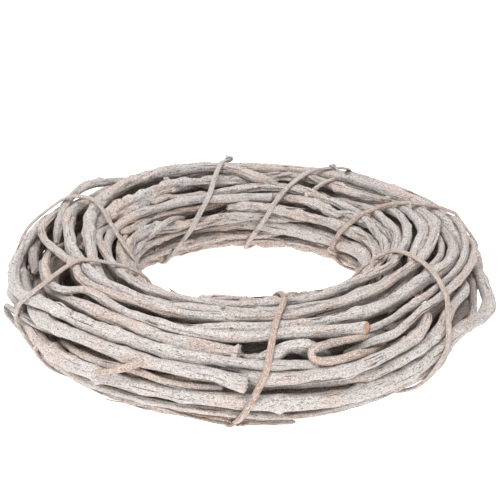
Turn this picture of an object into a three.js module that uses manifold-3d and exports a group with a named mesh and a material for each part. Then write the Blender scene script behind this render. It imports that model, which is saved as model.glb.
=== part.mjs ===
// A wreath of whitewashed vine shoots, lying flat. The shoots are bent round a ring, lie over and
// under each other, and are held by seven split strips wound round the bundle.
// Millimetres, +Z up. The origin is on the surface that the wreath rests on, under its middle.

import * as THREE from "three";
import { mergeVertices } from "three/addons/utils/BufferGeometryUtils.js";
import Module from "manifold-3d";

const wasm = await Module();
wasm.setup();

// Driving dimensions of the bundle
const OUTER_DIAMETER = 400;
const BUNDLE_WIDTH = 106;
const BUNDLE_HEIGHT = 77;
const RING_RADIUS = (OUTER_DIAMETER - BUNDLE_WIDTH) / 2;

// Clearances between shoots, and between a strip and what it holds
const SHOOT_GAP = 0.3;
const STRIP_GAP = 0.45;

// Section of a binding strip, and the number of straight stretches in one turn of it
const STRIP_WIDTH = 4.2;
const STRIP_THICKNESS = 1.7;
const STRIP_STRETCHES = 20;

// What lies this near a strip's edge still lifts the strip
const EDGE_ROOM = 3.8;

// The strips pass under the bundle, so they are what the wreath stands on
const GROUND = -(BUNDLE_HEIGHT / 2 + STRIP_GAP + STRIP_THICKNESS);

// Fineness of the faceted shoots
const STEP = 22;
const FINE_STEP = 9;
const THICK_SIDES = 6;
const THIN_SIDES = 5;
const THIN_DIAMETER = 7.6;

// How readily a shoot on the surface gives way, against one this deep inside the bundle
const SURFACE_GIVE = 0.12;
const LOOSE_DEPTH = 8;

// Leaf nodes: how many stations apart they are, and how much thicker. Elsewhere a shoot's thickness
// wavers by this share.
const NODE_EVERY = 4;
const NODE_SWELLING = 1.1;
const WAVER = 0.03;

// Ends of a shoot: size against its thickness, and how far the middle stands out, in radii
const TORN = { size: 0.82, bulge: 0.5 };
const CUT = { size: 1, bulge: 0 };
const KNOB = { size: 1.15, bulge: 0.4 };

// Finishes
const WHITEWASHED = { color: 0xc9bdb4, roughness: 0.9, metalness: 0 };
const PALE_PINK = { color: 0xbfa99d, roughness: 0.88, metalness: 0 };
const BARE_BROWN = { color: 0xa38474, roughness: 0.88, metalness: 0 };
const SPLIT_STRIP = { color: 0xb0988c, roughness: 0.8, metalness: 0 };

const radians = THREE.MathUtils.degToRad;
const random = seededRandom(1435);

function seededRandom(seed) {
  let state = seed;
  return () => {
    state = (state * 1664525 + 1013904223) % 4294967296;
    return state / 4294967296;
  };
}

// A place in the bundle. "around" is in degrees round the ring, anticlockwise from +X, and "across" in
// degrees round the bundle's section, 0 on its outer side and 90 on top. "depth" is below its surface.
function bundlePoint(around, across, depth = 0, radius = 0) {
  const inset = depth + radius;
  const reach = RING_RADIUS + (BUNDLE_WIDTH / 2 - inset) * Math.cos(radians(across));
  const height = (BUNDLE_HEIGHT / 2 - inset) * Math.sin(radians(across));
  return new THREE.Vector3(reach * Math.cos(radians(around)), reach * Math.sin(radians(around)), height);
}

// Shoots on the front, top and sides: name, thicknesses from start to end, way points of
// [around, across, depth], finish, and what sets a shoot apart.
const SHOOTS = [
  ["inner_rim_shoot", [6, 6, 8.7],
    [[150, 128, 10], [165, 118, 5], [178, 112], [190, 118], [203, 124], [214, 122], [224, 118], [235, 116],
      [250, 118], [262, 119], [275, 117], [290, 113], [301, 118], [306, 124], [312, 121], [320, 118],
      [326, 111], [335, 116], [349, 113], [357, 112], [366, 108], [374, 105], [382, 105], [395, 105, 7],
      [412, 110, 12]], WHITEWASHED],
  ["top_shoot", [10.5, 9, 7, 7.5],
    [[140, 55, 13], [150, 62, 6], [160, 70], [170, 78], [182, 88], [195, 92], [207, 95], [216, 93],
      [228, 95], [238, 92], [249, 96], [270, 98], [280, 98], [293, 103], [301, 103], [308, 110],
      [318, 108], [330, 119], [340, 127], [347, 124], [356, 121], [365, 121], [374, 123], [384, 122],
      [396, 119, 7], [415, 118, 13]], WHITEWASHED],
  ["crossing_shoot", [6, 6, 7, 7, 11],
    [[135, 45, 13], [150, 52, 7], [164, 57], [178, 60], [186, 68], [194, 76], [203, 84], [210, 87],
      [216, 82], [226, 82], [236, 85], [245, 83], [252, 82], [262, 82], [270, 85], [280, 83], [289, 88],
      [300, 93], [311, 95], [324, 97], [332, 95], [340, 92], [348, 89], [356, 85], [364, 80], [372, 80],
      [382, 86], [392, 92, 6], [405, 100, 12]], WHITEWASHED],
  ["front_top_thick_shoot", [10, 11, 11, 7, 7],
    [[236, 74, 14], [250, 72, 8], [262, 72], [272, 74], [284, 74], [296, 76], [306, 77], [315, 79],
      [323, 80], [331, 77], [338, 72], [345, 68], [352, 67], [360, 70], [368, 72], [378, 70, 6],
      [392, 64, 10], [410, 56, 12]], WHITEWASHED],
  ["arching_shoot", [6, 6, 6.5, 7, 8, 8],
    [[178, 80, 13], [187, 74, 6], [194, 70], [202, 63], [208, 60], [214, 59], [218, 63], [221, 71, -1],
      [226, 74, -1], [233, 72], [240, 68], [248, 66], [258, 63], [268, 61], [278, 62], [288, 60],
      [293, 58], [297.5, 54.5]], WHITEWASHED, { end: CUT, step: 15 }],
  ["torn_end_shoot", [8, 8.7, 8.7],
    [[188, 48, 16], [205, 55, 12], [214, 59, 8], [222, 61, 1], [230, 60], [240, 59], [248, 54], [256, 48],
      [262, 45], [267, 42]], WHITEWASHED],
  ["front_outer_shoot", [8, 9, 9, 9, 9.5, 8.5, 6.5, 6],
    [[138, 38, 9], [152, 44, 4], [165, 45], [172, 38], [180, 30], [186, 25], [192, 22], [198, 20],
      [204, 23], [210, 32], [218, 41], [227, 44], [236, 45], [246, 44], [256, 40], [263, 37], [270, 35],
      [274, 31], [277, 29], [280, 29], [284, 28, 1], [288, 28, 4], [294, 30, 10], [300, 33, 14]],
    WHITEWASHED],
  ["front_right_thick_shoot", [9.5, 10, 10, 9.5, 9, 8.5],
    [[256, 16, 16], [264, 17, 10], [270, 18, 3], [275, 19], [280, 19], [290, 19], [296, 22], [300, 25],
      [306, 30], [310, 35], [313.5, 42], [315.5, 50], [317, 58, 5], [320, 66, 14]], WHITEWASHED,
    { step: 14 }],
  ["knobbed_end_shoot", [8, 9, 9.5, 9.5],
    [[112, 20, 7], [138, 12, 4], [160, 8, 2], [178, 8, 4], [192, 14, 9], [204, 19, 9], [211, 22, 3],
      [220, 27], [229, 31], [238, 32], [247, 30], [255, 29], [261, 28], [265, 26], [267.5, 23],
      [269.3, 18]], WHITEWASHED, { end: KNOB }],
  ["long_outline_shoot", [10, 11, 11, 10.8, 10, 9.5, 9, 6],
    [[176, -14, 12], [196, -9, 6], [214, -4], [222, -8], [231, -3], [239, 1], [247, 0], [256, 0], [265, 0],
      [272, -3], [281, -6], [290, -6], [297, -1], [304, 4], [311, 10], [317, 14], [322, 15], [327, 13],
      [332, 8, -1], [337, 3, -3], [341, 5, -4], [343, 14, -3], [346, 28, -1], [349, 40], [353, 50],
      [358, 57], [365, 64], [372, 70], [378, 76], [385, 80], [392, 84], [400, 87], [408, 88], [417, 86],
      [430, 85], [450, 85], [462, 84], [470, 79], [477, 71, 1], [484, 64, 3], [490, 60, 2], [496, 59, -2],
      [502, 58, -5], [508, 57, -7], [514, 57, -5], [520, 58, -1], [530, 62, 8], [540, 66, 13]],
    WHITEWASHED, { step: 20 }],
  ["thin_front_tendril", [5, 5],
    [[222, -4, 12], [233, 6, 5], [240, 11, 3], [245, 16, 3], [249, 14, 3], [254, 9, 4], [264, 4, 12]],
    BARE_BROWN, { step: 14 }],
  ["short_orange_shoot", [7, 6.5],
    [[246, 6, 14], [254, 9, 6], [260, 13, 2], [264, 12, 1]], BARE_BROWN, { step: 12 }],
  ["low_front_shoot", [7, 7, 6, 5.6, 6],
    [[150, -25, 2], [175, -22], [200, -24], [222, -25], [232, -23], [242, -22], [252, -21], [262, -23],
      [270, -28], [278, -34], [286, -31], [293, -21], [300, -14], [307, -10], [312, -7], [318, -2, 5],
      [326, 4, 12]], WHITEWASHED],
  ["bottom_front_shoot", [8, 9, 8],
    [[120, -40], [150, -44], [180, -45], [205, -43], [225, -40], [238, -38], [250, -38], [262, -40],
      [270, -45], [279, -50, 2]], WHITEWASHED],
  ["bottom_left_shoot", [8, 9, 8],
    [[172, -64, 2], [186, -61], [200, -58], [214, -58], [228, -57], [240, -58], [252, -60], [264, -62, 2]],
    PALE_PINK],
  ["side_loop_tendril", [4.4, 4.6, 4.2],
    [[224, 20, 16], [213, 15, 5], [205, 11, -1], [200.5, 5, -4], [200, -2, -4], [204, -8, -1],
      [212, -13, 5], [224, -14, 14]], BARE_BROWN, { step: FINE_STEP }],
  ["forked_shoot_upper", [5, 5.5, 6, 6.5, 7, 8],
    [[290, 56, 13], [297, 55, 5], [301, 55], [305, 56], [309, 59], [314, 61], [320, 62], [327, 62],
      [334, 60], [341, 58], [349, 58], [356, 60], [364, 61], [375, 55, 5], [395, 48, 8], [420, 40, 7],
      [445, 34, 8]], WHITEWASHED],
  ["forked_shoot_lower", [5, 5.5, 6, 6.5, 7, 8],
    [[292, 44, 14], [297, 47, 6], [300, 47, 1], [303, 45], [306, 46], [308, 50], [310.5, 54], [314, 55],
      [320, 55], [327, 55], [334, 54], [342, 52], [350, 49], [358, 44, 2], [370, 38, 6], [390, 32, 7],
      [415, 26, 6], [440, 22, 6]], WHITEWASHED, { step: 18 }],
  ["hooked_tendril", [4.6, 4.8, 5.4, 6.2, 6.2, 5.6],
    [[303, 49, 13], [299, 50, 8], [295, 50, 2], [291, 49.5, -1], [287.5, 48.5, -1], [284.8, 46.5, -1],
      [283, 43.5, -1], [282.4, 39.5, -1], [283, 35, -1], [285, 31.5, -1], [288, 30, -1], [291, 30, -1],
      [294, 31, 2], [298, 33, 8], [302, 36, 13]], BARE_BROWN, { step: 6 }],
  ["gnarled_branch", [8, 9.5, 10, 9],
    [[258, 44, 17], [266, 43, 11], [272, 42, 3], [276, 48, -1], [279.5, 53, -3], [282, 51, -2],
      [285, 45, 4], [288, 42, 13]], WHITEWASHED, { step: 12 }],
  ["front_low_thick_shoot", [8, 8, 8.5, 9, 8, 7],
    [[248, 12, 17], [262, 11, 14], [270, 11, 12], [276, 11, 11], [282, 10, 9], [288, 9, 6],
      [294, 9, 1], [300, 11], [305, 14], [310, 17], [314, 21, 1], [318, 28, 3], [323, 34, 5], [328, 38, 6],
      [333, 38, 5], [337, 42, 7], [342, 50, 14]], WHITEWASHED],
  ["right_inner_shoot", [7, 7, 7, 8, 8],
    [[250, 148, 2], [280, 140], [300, 136], [320, 134], [341, 132], [349, 132], [358, 134], [368, 137],
      [380, 137], [388, 143], [396, 151], [404, 152], [412, 148], [421, 145], [430, 148], [438, 146, 4],
      [448, 142, 12]], WHITEWASHED],
  ["right_top_shoot", [8, 8.5, 8.5, 8, 8],
    [[300, 84, 14], [320, 92, 12], [335, 99, 8], [343, 101, 3], [350, 98], [357, 94], [365, 93],
      [373, 95], [380, 98], [392, 97, 6], [410, 95, 9], [430, 93, 9], [455, 97, 9], [480, 106, 12]],
    WHITEWASHED],
  ["right_short_shoot", [6, 6, 6],
    [[313, 88, 14], [325, 88, 8], [335, 84, 2], [342, 79], [350, 77], [358, 77], [368, 75, 8],
      [382, 74, 14]], WHITEWASHED],
  ["broken_end_shoot", [7, 8, 8, 11, 14, 14, 11],
    [[386, 103], [389, 108], [395, 112], [403, 113], [410, 113], [420, 106], [430, 102], [440, 107],
      [450, 112], [460, 113], [471, 110], [479, 108], [487, 110], [495, 116], [505, 119], [515, 118],
      [526, 112, 8], [542, 108, 14]], WHITEWASHED],
  ["back_top_shoot", [7, 8, 8, 8],
    [[322, 120, 14], [338, 124, 9], [350, 127, 2], [360, 128], [368, 129], [378, 130], [388, 132],
      [396, 132], [405, 131], [417, 130], [428, 126], [435, 128], [442, 127], [450, 129], [464, 135],
      [478, 140, 9], [495, 147, 12]], WHITEWASHED],
  ["left_top_shoot", [8, 9, 12, 12, 11, 9.5, 9, 8, 7, 7],
    [[78, 133, 12], [90, 124], [95, 113], [101, 100], [110, 86], [121, 78], [130, 77], [138, 80],
      [147, 86], [156, 92], [168, 101], [178, 107], [190, 110], [205, 104], [214, 100, 6],
      [228, 101, 10], [245, 105, 11], [265, 108, 10], [290, 106, 12]], WHITEWASHED],
  ["pale_end_shoot", [8, 8, 8, 9, 9, 8],
    [[79, 147], [90, 148], [106, 147], [121, 140], [134, 140], [147, 135], [158, 130, 4], [175, 127, 7],
      [195, 133, 6], [215, 137, 3], [235, 135, 4], [255, 135, 4], [275, 134, 6], [290, 130, 11]],
    WHITEWASHED, { start: CUT }],
  ["reddish_shoot", [6, 7, 7, 8, 8],
    [[78, 150, 12], [92, 153, 4], [102, 153], [116, 156], [128, 153], [140, 149], [155, 144, 3],
      [175, 142], [195, 146], [220, 150], [248, 150], [270, 148, 5], [290, 146, 10]], BARE_BROWN],
  ["back_upper_inner_shoot", [8, 9, 9, 9, 9, 8],
    [[60, 173, 9], [75, 171], [84, 170], [98, 170], [118, 173], [135, 168], [144, 161], [152, 158],
      [165, 154], [180, 156], [200, 162], [225, 165], [250, 164], [275, 160], [300, 156], [320, 150, 6]],
    PALE_PINK],
  ["back_middle_inner_shoot", [8, 9, 9, 9, 9, 8],
    [[80, 187, 9], [99, 187], [121, 187], [140, 184], [158, 175], [175, 170], [195, 176], [220, 180],
      [245, 180], [270, 176], [295, 172], [320, 166], [345, 158], [365, 150, 9]], PALE_PINK],
  ["back_lower_inner_shoot", [8, 9, 9, 9, 9, 8],
    [[68, 212, 9], [82, 208], [90, 205], [107, 205], [130, 204], [147, 198], [165, 188], [185, 188],
      [210, 194], [235, 196], [260, 194], [285, 190], [310, 184], [335, 176], [355, 172, 9]], PALE_PINK],
  ["wide_smooth_shoot", [10, 12, 13, 13, 13, 12],
    [[205, 216, 8], [235, 214], [265, 210], [290, 206], [315, 198], [335, 188], [350, 176], [360, 170],
      [368, 169], [378, 175], [388, 182], [398, 186], [407, 188], [416, 190], [425, 190], [434, 190],
      [443, 190], [452, 191, 2], [465, 196, 10], [480, 200, 15]], PALE_PINK],
  ["back_bottom_inner_shoot", [8, 9, 9, 9, 8],
    [[285, 222, 9], [305, 218, 3], [330, 208, 3], [350, 200, 3], [370, 203], [390, 211], [410, 216],
      [425, 214], [440, 216], [455, 220], [470, 222], [490, 222], [510, 216], [530, 208, 3],
      [550, 206, 9]], PALE_PINK],
  ["back_right_inner_shoot", [8, 9, 9, 9, 8],
    [[330, 146, 9], [350, 152, 3], [368, 155, 2], [382, 158], [392, 161], [400, 162], [410, 164],
      [420, 164], [430, 162], [440, 160], [448, 159, 3], [460, 160, 10]], PALE_PINK],
  ["pale_pointed_tip", [5, 4.6, 3.4],
    [[426, 138, 12], [422, 131, 3], [418, 121, -3], [414, 110, -4]], WHITEWASHED, { step: 8 }],
];

// Shoots that fill the outer back, the underside and the inside of the bundle: how many, the first
// one's "across" and the stride to the next, the depth, where round the ring the first begins and how
// much further on each next one does, the stretch of ring that each covers, and the finish.
const FILLING = [
  { name: "outer_back_shoot", count: 4, across: 36, stride: -22, depth: 3, from: -20, shift: 8, span: 220,
    finish: WHITEWASHED },
  { name: "underside_shoot", count: 5, across: -64, stride: -16, depth: 0, from: 200, shift: 83, span: 320,
    finish: PALE_PINK },
  { name: "core_shoot", count: 8, across: 10, stride: 46, depth: 14, from: 90, shift: 83, span: 390,
    finish: BARE_BROWN },
];

// How the filling shoots differ from each other: the least and the most of each measure
const FILLING_THICKNESS = [8, 11.5];
const FILLING_SPAN = [0.85, 1.05];
const FILLING_SWING = [4, 8];
const FILLING_DRIFT = [-0.025, 0.025];
const FILLING_DEPTH = [0, 2];

// Degrees round the ring between their way points, the stretch over which an end dives into the bundle
// and how deep, and their waves round the ring
const FILLING_STRIDE = 15;
const DIVE_STRETCH = 25;
const DIVE_DEPTH = 7;
const WAVES = 3;
const FILLING_STEP = 36;

function pick([least, most]) {
  return least + (most - least) * random();
}

function fillingShoots() {
  const shoots = [];
  for (const { name, count, across, stride, depth, from, shift, span, finish } of FILLING) {
    for (let number = 0; number < count; number++) {
      const length = span * pick(FILLING_SPAN);
      const swing = pick(FILLING_SWING);
      const phase = 360 * random();
      const drift = pick(FILLING_DRIFT);
      const wayPoints = [];
      for (let along = 0; along <= length; along += FILLING_STRIDE) {
        const dive = Math.max(0, 1 - Math.min(along, length - along) / DIVE_STRETCH);
        const sway = drift * along + swing * Math.sin(radians(WAVES * along + phase));
        wayPoints.push([from + shift * number + along, across + stride * number + sway,
          depth + DIVE_DEPTH * dive + pick(FILLING_DEPTH)]);
      }
      const thickness = pick(FILLING_THICKNESS);
      shoots.push([`${name}_${number + 1}`, [thickness, thickness + 1, thickness - 0.5], wayPoints, finish,
        { filling: true, step: FILLING_STEP }]);
    }
  }
  return shoots;
}

// Where a list of values, evenly spread from 0 to 1, is read at "along"
function readAt(values, along) {
  const place = THREE.MathUtils.clamp(along, 0, 1) * (values.length - 1);
  const index = Math.min(Math.floor(place), values.length - 2);
  return THREE.MathUtils.lerp(values[index], values[index + 1], place - index);
}

// A shoot's stations: points along its route, each with the radius there. Thickness swells a little
// at the leaf nodes, which come every few stations.
function layOut([name, thicknesses, wayPoints, finish, options = {}]) {
  const { step = STEP, filling = false, start = TORN, end = TORN } = options;
  const along = (index) => index / (wayPoints.length - 1);
  const route = new THREE.CatmullRomCurve3(wayPoints.map(([around, across, depth], index) =>
    bundlePoint(around, across, depth, readAt(thicknesses, along(index)) / 2)));
  route.arcLengthDivisions = 40 * wayPoints.length;
  const steps = Math.max(4, Math.round(route.getLength() / step));
  const nodePhase = Math.floor(NODE_EVERY * random());
  const points = route.getSpacedPoints(steps);
  const radii = points.map((point, index) => {
    const swelling = (index + nodePhase) % NODE_EVERY === 0 ? NODE_SWELLING : 1;
    const tip = index === 0 ? start.size : index === steps ? end.size : 1;
    const waver = 1 + WAVER * (2 * random() - 1);
    return readAt(thicknesses, index / steps) / 2 * swelling * tip * waver;
  });
  const targets = points.map((point) => point.clone());
  const depths = wayPoints.map(([, , depth = 0]) => depth);
  const gives = points.map((point, index) => {
    const looseness = THREE.MathUtils.clamp(readAt(depths, index / steps) / LOOSE_DEPTH, 0, 1);
    return filling ? 1 : THREE.MathUtils.lerp(SURFACE_GIVE, 1, looseness);
  });
  return { name, finish, points, targets, radii, gives, filling, ends: [start, end] };
}

// Nearest points of the straight links a-b and c-d, as fractions of each
const alongFirst = new THREE.Vector3();
const alongSecond = new THREE.Vector3();
const between = new THREE.Vector3();
function nearestFractions(a, b, c, d) {
  alongFirst.subVectors(b, a);
  alongSecond.subVectors(d, c);
  between.subVectors(a, c);
  const first = alongFirst.lengthSq();
  const second = alongSecond.lengthSq();
  const cross = alongFirst.dot(alongSecond);
  const toFirst = alongFirst.dot(between);
  const toSecond = alongSecond.dot(between);
  const spread = first * second - cross * cross;
  const clamp = (value) => Math.min(1, Math.max(0, value));
  let s = spread > 1e-9 ? clamp((cross * toSecond - toFirst * second) / spread) : 0.5;
  let t = (cross * s + toSecond) / second;
  if (t < 0 || t > 1) {
    t = clamp(t);
    s = clamp((cross * t - toFirst) / first);
  }
  return [s, t];
}

// Every pair of links of the shoots that may touch. Links of one shoot count only where they are far
// enough apart along it.
function nearbyLinks(shoots) {
  const MARGIN = 3;
  const OWN_DISTANCE = 45;
  const links = [];
  for (const shoot of shoots) {
    for (let index = 0; index + 1 < shoot.points.length; index++) {
      const a = shoot.points[index];
      const b = shoot.points[index + 1];
      links.push({ shoot, index, middle: a.clone().add(b).multiplyScalar(0.5),
        reach: a.distanceTo(b) / 2 + Math.max(shoot.radii[index], shoot.radii[index + 1]) + MARGIN });
    }
  }
  const pairs = [];
  for (let i = 0; i < links.length; i++) {
    for (let j = i + 1; j < links.length; j++) {
      const one = links[i];
      const other = links[j];
      const reach = one.reach + other.reach;
      if (one.middle.distanceToSquared(other.middle) > reach * reach) continue;
      const alongShoot = Math.abs(one.index - other.index) * stationStep(one.shoot);
      if (one.shoot === other.shoot && alongShoot < OWN_DISTANCE) continue;
      pairs.push([one, other]);
    }
  }
  return pairs;
}

function stationStep(shoot) {
  return shoot.points[0].distanceTo(shoot.points[1]);
}

// Moves overlapping links apart and returns the worst overlap found
const push = new THREE.Vector3();
function separate(pairs) {
  let worst = 0;
  for (const [one, other] of pairs) {
    const a = one.shoot.points[one.index];
    const b = one.shoot.points[one.index + 1];
    const c = other.shoot.points[other.index];
    const d = other.shoot.points[other.index + 1];
    const [s, t] = nearestFractions(a, b, c, d);
    push.set(a.x + (b.x - a.x) * s - c.x - (d.x - c.x) * t, a.y + (b.y - a.y) * s - c.y - (d.y - c.y) * t,
      a.z + (b.z - a.z) * s - c.z - (d.z - c.z) * t);
    const distance = push.length();
    const radii = one.shoot.radii[one.index] * (1 - s) + one.shoot.radii[one.index + 1] * s
      + other.shoot.radii[other.index] * (1 - t) + other.shoot.radii[other.index + 1] * t;
    const overlap = radii + SHOOT_GAP - distance;
    if (overlap <= 0) continue;
    worst = Math.max(worst, overlap);
    const moves = [one.shoot.gives[one.index] * (1 - s), one.shoot.gives[one.index + 1] * s,
      other.shoot.gives[other.index] * (1 - t), other.shoot.gives[other.index + 1] * t];
    const effect = moves[0] * (1 - s) + moves[1] * s + moves[2] * (1 - t) + moves[3] * t;
    push.multiplyScalar(overlap / effect / Math.max(distance, 1e-6));
    a.addScaledVector(push, moves[0]);
    b.addScaledVector(push, moves[1]);
    c.addScaledVector(push, -moves[2]);
    d.addScaledVector(push, -moves[3]);
  }
  return worst;
}

// Keeps a shoot smooth, near its route and no lower than the underside of the bundle. The shoots
// inside sag onto the ones below them.
function settle(shoot, easing, pull) {
  const SAG = 0.008;
  const { points, targets, radii, filling } = shoot;
  const shifts = points.map((point, index) => point.clone().sub(targets[index]));
  points.forEach((point, index) => {
    const before = shifts[Math.max(0, index - 1)];
    const after = shifts[Math.min(points.length - 1, index + 1)];
    const shift = shifts[index].clone().multiplyScalar(1 - easing).addScaledVector(before, easing / 2)
      .addScaledVector(after, easing / 2).multiplyScalar(1 - pull);
    point.copy(targets[index]).add(shift);
    point.z = Math.max(point.z, radii[index] - BUNDLE_HEIGHT / 2);
    if (!filling) return;
    point.z -= SAG;
    keepInside(point, radii[index]);
  });
}

// Brings a point back to where a shoot of this radius lies just inside the bundle's surface
function keepInside(point, radius) {
  const reach = Math.hypot(point.x, point.y);
  const outward = reach - RING_RADIUS;
  const excess = Math.hypot(outward / (BUNDLE_WIDTH / 2 - radius), point.z / (BUNDLE_HEIGHT / 2 - radius));
  if (excess <= 1) return;
  const scale = (RING_RADIUS + outward / excess) / reach;
  point.set(point.x * scale, point.y * scale, point.z / excess);
}

// Lets the shoots find room beside each other, first loosely and then exactly
function packTogether(shoots) {
  const SETTLING_ROUNDS = 420;
  const LOOSE_ROUNDS = 260;
  const MOST_ROUNDS = 1200;
  const ROUNDS_PER_SEARCH = 12;
  const OVERLAP_LEFT = 0.1;
  const EASING = 0.03;
  const LOOSE_EASING = 0.3;
  const LOOSE_PULL = 0.03;
  let pairs = [];
  for (let round = 0; round < MOST_ROUNDS; round++) {
    if (round % ROUNDS_PER_SEARCH === 0) pairs = nearbyLinks(shoots);
    const overlap = separate(pairs);
    const loose = Math.max(0, 1 - round / LOOSE_ROUNDS);
    if (round < SETTLING_ROUNDS) {
      for (const shoot of shoots) settle(shoot, EASING + LOOSE_EASING * loose, LOOSE_PULL * loose);
    } else if (overlap < OVERLAP_LEFT) {
      return;
    }
  }
}

const shoots = [...SHOOTS, ...fillingShoots()].map(layOut);
packTogether(shoots);

// A closed tube through a shoot's stations
function shootGeometry(shoot) {
  const { points, radii, ends } = shoot;
  const steps = points.length - 1;
  const sides = 2 * Math.max(...radii) > THIN_DIAMETER ? THICK_SIDES : THIN_SIDES;
  const frames = carriedFrames(points);
  const geometry = new THREE.CylinderGeometry(1, 1, steps, sides, steps);
  const position = geometry.attributes.position;
  const corner = new THREE.Vector3();
  for (let vertex = 0; vertex < position.count; vertex++) {
    corner.fromBufferAttribute(position, vertex);
    const station = Math.round(steps / 2 - corner.y);
    const { across, up, ahead } = frames[station];
    const isCapCentre = Math.hypot(corner.x, corner.z) < 0.5;
    const bulge = !isCapCentre ? 0 : station === 0 ? -ends[0].bulge : ends[1].bulge;
    const place = points[station].clone()
      .addScaledVector(across, corner.x * radii[station])
      .addScaledVector(up, corner.z * radii[station])
      .addScaledVector(ahead, bulge * radii[station]);
    position.setXYZ(vertex, place.x, place.y, place.z);
  }
  return closedMesh(geometry);
}

// Directions ahead, across and up at each point of a path, carried along it without twist
function carriedFrames(points) {
  const last = points.length - 1;
  const link = (index) => points[index + 1].clone().sub(points[index]).normalize();
  const frames = [];
  let up = new THREE.Vector3(0, 0, 1);
  for (let index = 0; index <= last; index++) {
    const before = link(Math.max(0, index - 1));
    const after = link(Math.min(last - 1, index));
    const ahead = before.add(after).normalize();
    const across = new THREE.Vector3().crossVectors(ahead, up).normalize();
    up = new THREE.Vector3().crossVectors(across, ahead).normalize();
    frames.push({ ahead, across, up: up.clone() });
  }
  return frames;
}

// Joins a geometry's shared corners and turns its faces outwards
function closedMesh(geometry) {
  geometry.deleteAttribute("normal");
  geometry.deleteAttribute("uv");
  const merged = mergeVertices(geometry, 1e-3);
  const { position } = merged.attributes;
  const corners = merged.index.array;
  const [a, b, c] = [new THREE.Vector3(), new THREE.Vector3(), new THREE.Vector3()];
  let volume = 0;
  for (let face = 0; face < corners.length; face += 3) {
    a.fromBufferAttribute(position, corners[face]);
    b.fromBufferAttribute(position, corners[face + 1]);
    c.fromBufferAttribute(position, corners[face + 2]);
    volume += a.dot(b.cross(c));
  }
  if (volume < 0) {
    for (let face = 0; face < corners.length; face += 3) {
      [corners[face], corners[face + 1]] = [corners[face + 1], corners[face]];
    }
  }
  return merged;
}

// The binding strips: name, way points of [around, across] all the way round the bundle, knots and
// loose ends. A knot or end is given by where it is "across", and an end's length, and its lean round
// the ring in degrees from straight out.
const STRIPS = [
  ["front_strip",
    [[283, 118], [280, 96], [277, 80], [275, 60], [274, 42], [273, 25], [271, 8], [269, -12], [267, -38],
      [265, -55], [266, -90], [270, -130], [276, -175], [280, -215]],
    { knots: [116, -58], ends: [[116, 11, 80], [-60, 6, -20]] }],
  ["back_left_strip",
    [[94, 72], [97, 85], [101, 98], [106, 118], [110, 138], [117, 152], [123, 166], [129, 182], [134, 198],
      [138, 212], [135, 240], [126, 280], [115, 325], [103, 375]],
    { knots: [76], ends: [[76, 8, 10]] }],
  ["back_strip",
    [[57, 76], [61, 86], [66, 98], [70, 116], [74, 140], [78, 158], [83, 177], [88, 198], [92, 216],
      [92, 240], [85, 275], [73, 315], [62, 355]],
    { knots: [80], ends: [[80, 9, -75]] }],
  ["back_right_strip",
    [[40, 195], [36, 180], [31, 162], [26.5, 148], [24, 134], [23, 118], [22, 104], [20, 90], [17, 78],
      [13, 66], [10, 40], [10, 0], [16, -45], [27, -90], [36, -130]],
    { knots: [195], ends: [[195, 8, -60]] }],
  ["right_strip",
    [[336, 118], [336, 106], [333, 95], [330, 82], [327, 70], [323, 56], [320, 44], [318, 32], [316, 18],
      [313, 4], [310, -8], [307, -20], [307, -45], [310, -90], [316, -130], [324, -170], [331, -210]],
    { knots: [], ends: [] }],
  ["front_left_strip",
    [[212, 118], [210, 108], [208, 100], [208, 92], [209, 84], [210, 74], [211, 66], [212, 52], [211, 36],
      [208, 20], [209, 4], [212, -8], [216, -22], [219, -40], [220, -60], [219, -100], [216, -140],
      [213, -180], [212, -215]],
    { knots: [], ends: [] }],
  ["left_strip",
    [[172, 38], [165, 50], [160, 66], [157, 80], [158, 92], [162, 104], [170, 118], [180, 133],
      [189, 145], [193, 170], [193, 205], [188, 240], [181, 280], [176, 320], [174, 370]],
    { knots: [], ends: [] }],
];

// Where a strip is round the ring at each place "across" the bundle
function stripCourse(wayPoints) {
  const sorted = wayPoints.map(([around, across]) => [THREE.MathUtils.euclideanModulo(across, 360), around])
    .sort((one, other) => one[0] - other[0]);
  const [first, last] = [sorted[0], sorted[sorted.length - 1]];
  const course = [[last[0] - 360, last[1]], ...sorted, [first[0] + 360, first[1]]];
  return (across) => {
    const place = THREE.MathUtils.euclideanModulo(across, 360);
    const next = Math.max(1, course.findIndex(([at]) => at >= place));
    const [[fromAcross, fromAround], [toAcross, toAround]] = [course[next - 1], course[next]];
    return THREE.MathUtils.mapLinear(place, fromAcross, toAcross, fromAround, toAround);
  };
}

// "Across" of a point of a section, given outwards from the bundle's middle and upwards
function acrossOf(outward, height) {
  return THREE.MathUtils.radToDeg(Math.atan2(height / BUNDLE_HEIGHT, outward / BUNDLE_WIDTH));
}

// The discs that shoots make in the slanted section under a strip, wide enough to clear its edges
function discsUnderStrip(shoots, course) {
  const SAMPLE = 2;
  const BAND = STRIP_WIDTH / 2 + EDGE_ROOM;
  const discs = [];
  const point = new THREE.Vector3();
  for (const { points, radii } of shoots) {
    for (let index = 0; index + 1 < points.length; index++) {
      const samples = Math.ceil(points[index].distanceTo(points[index + 1]) / SAMPLE);
      for (let sample = 0; sample <= samples; sample++) {
        point.lerpVectors(points[index], points[index + 1], sample / samples);
        const reach = Math.hypot(point.x, point.y);
        const around = THREE.MathUtils.radToDeg(Math.atan2(point.y, point.x));
        const outward = reach - RING_RADIUS;
        const aside = around - course(acrossOf(outward, point.z));
        const turn = THREE.MathUtils.euclideanModulo(aside + 180, 360) - 180;
        if (Math.abs(radians(turn)) * reach > BAND) continue;
        const radius = THREE.MathUtils.lerp(radii[index], radii[index + 1], sample / samples);
        discs.push([outward, point.z, radius]);
      }
    }
  }
  return discs;
}

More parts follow.
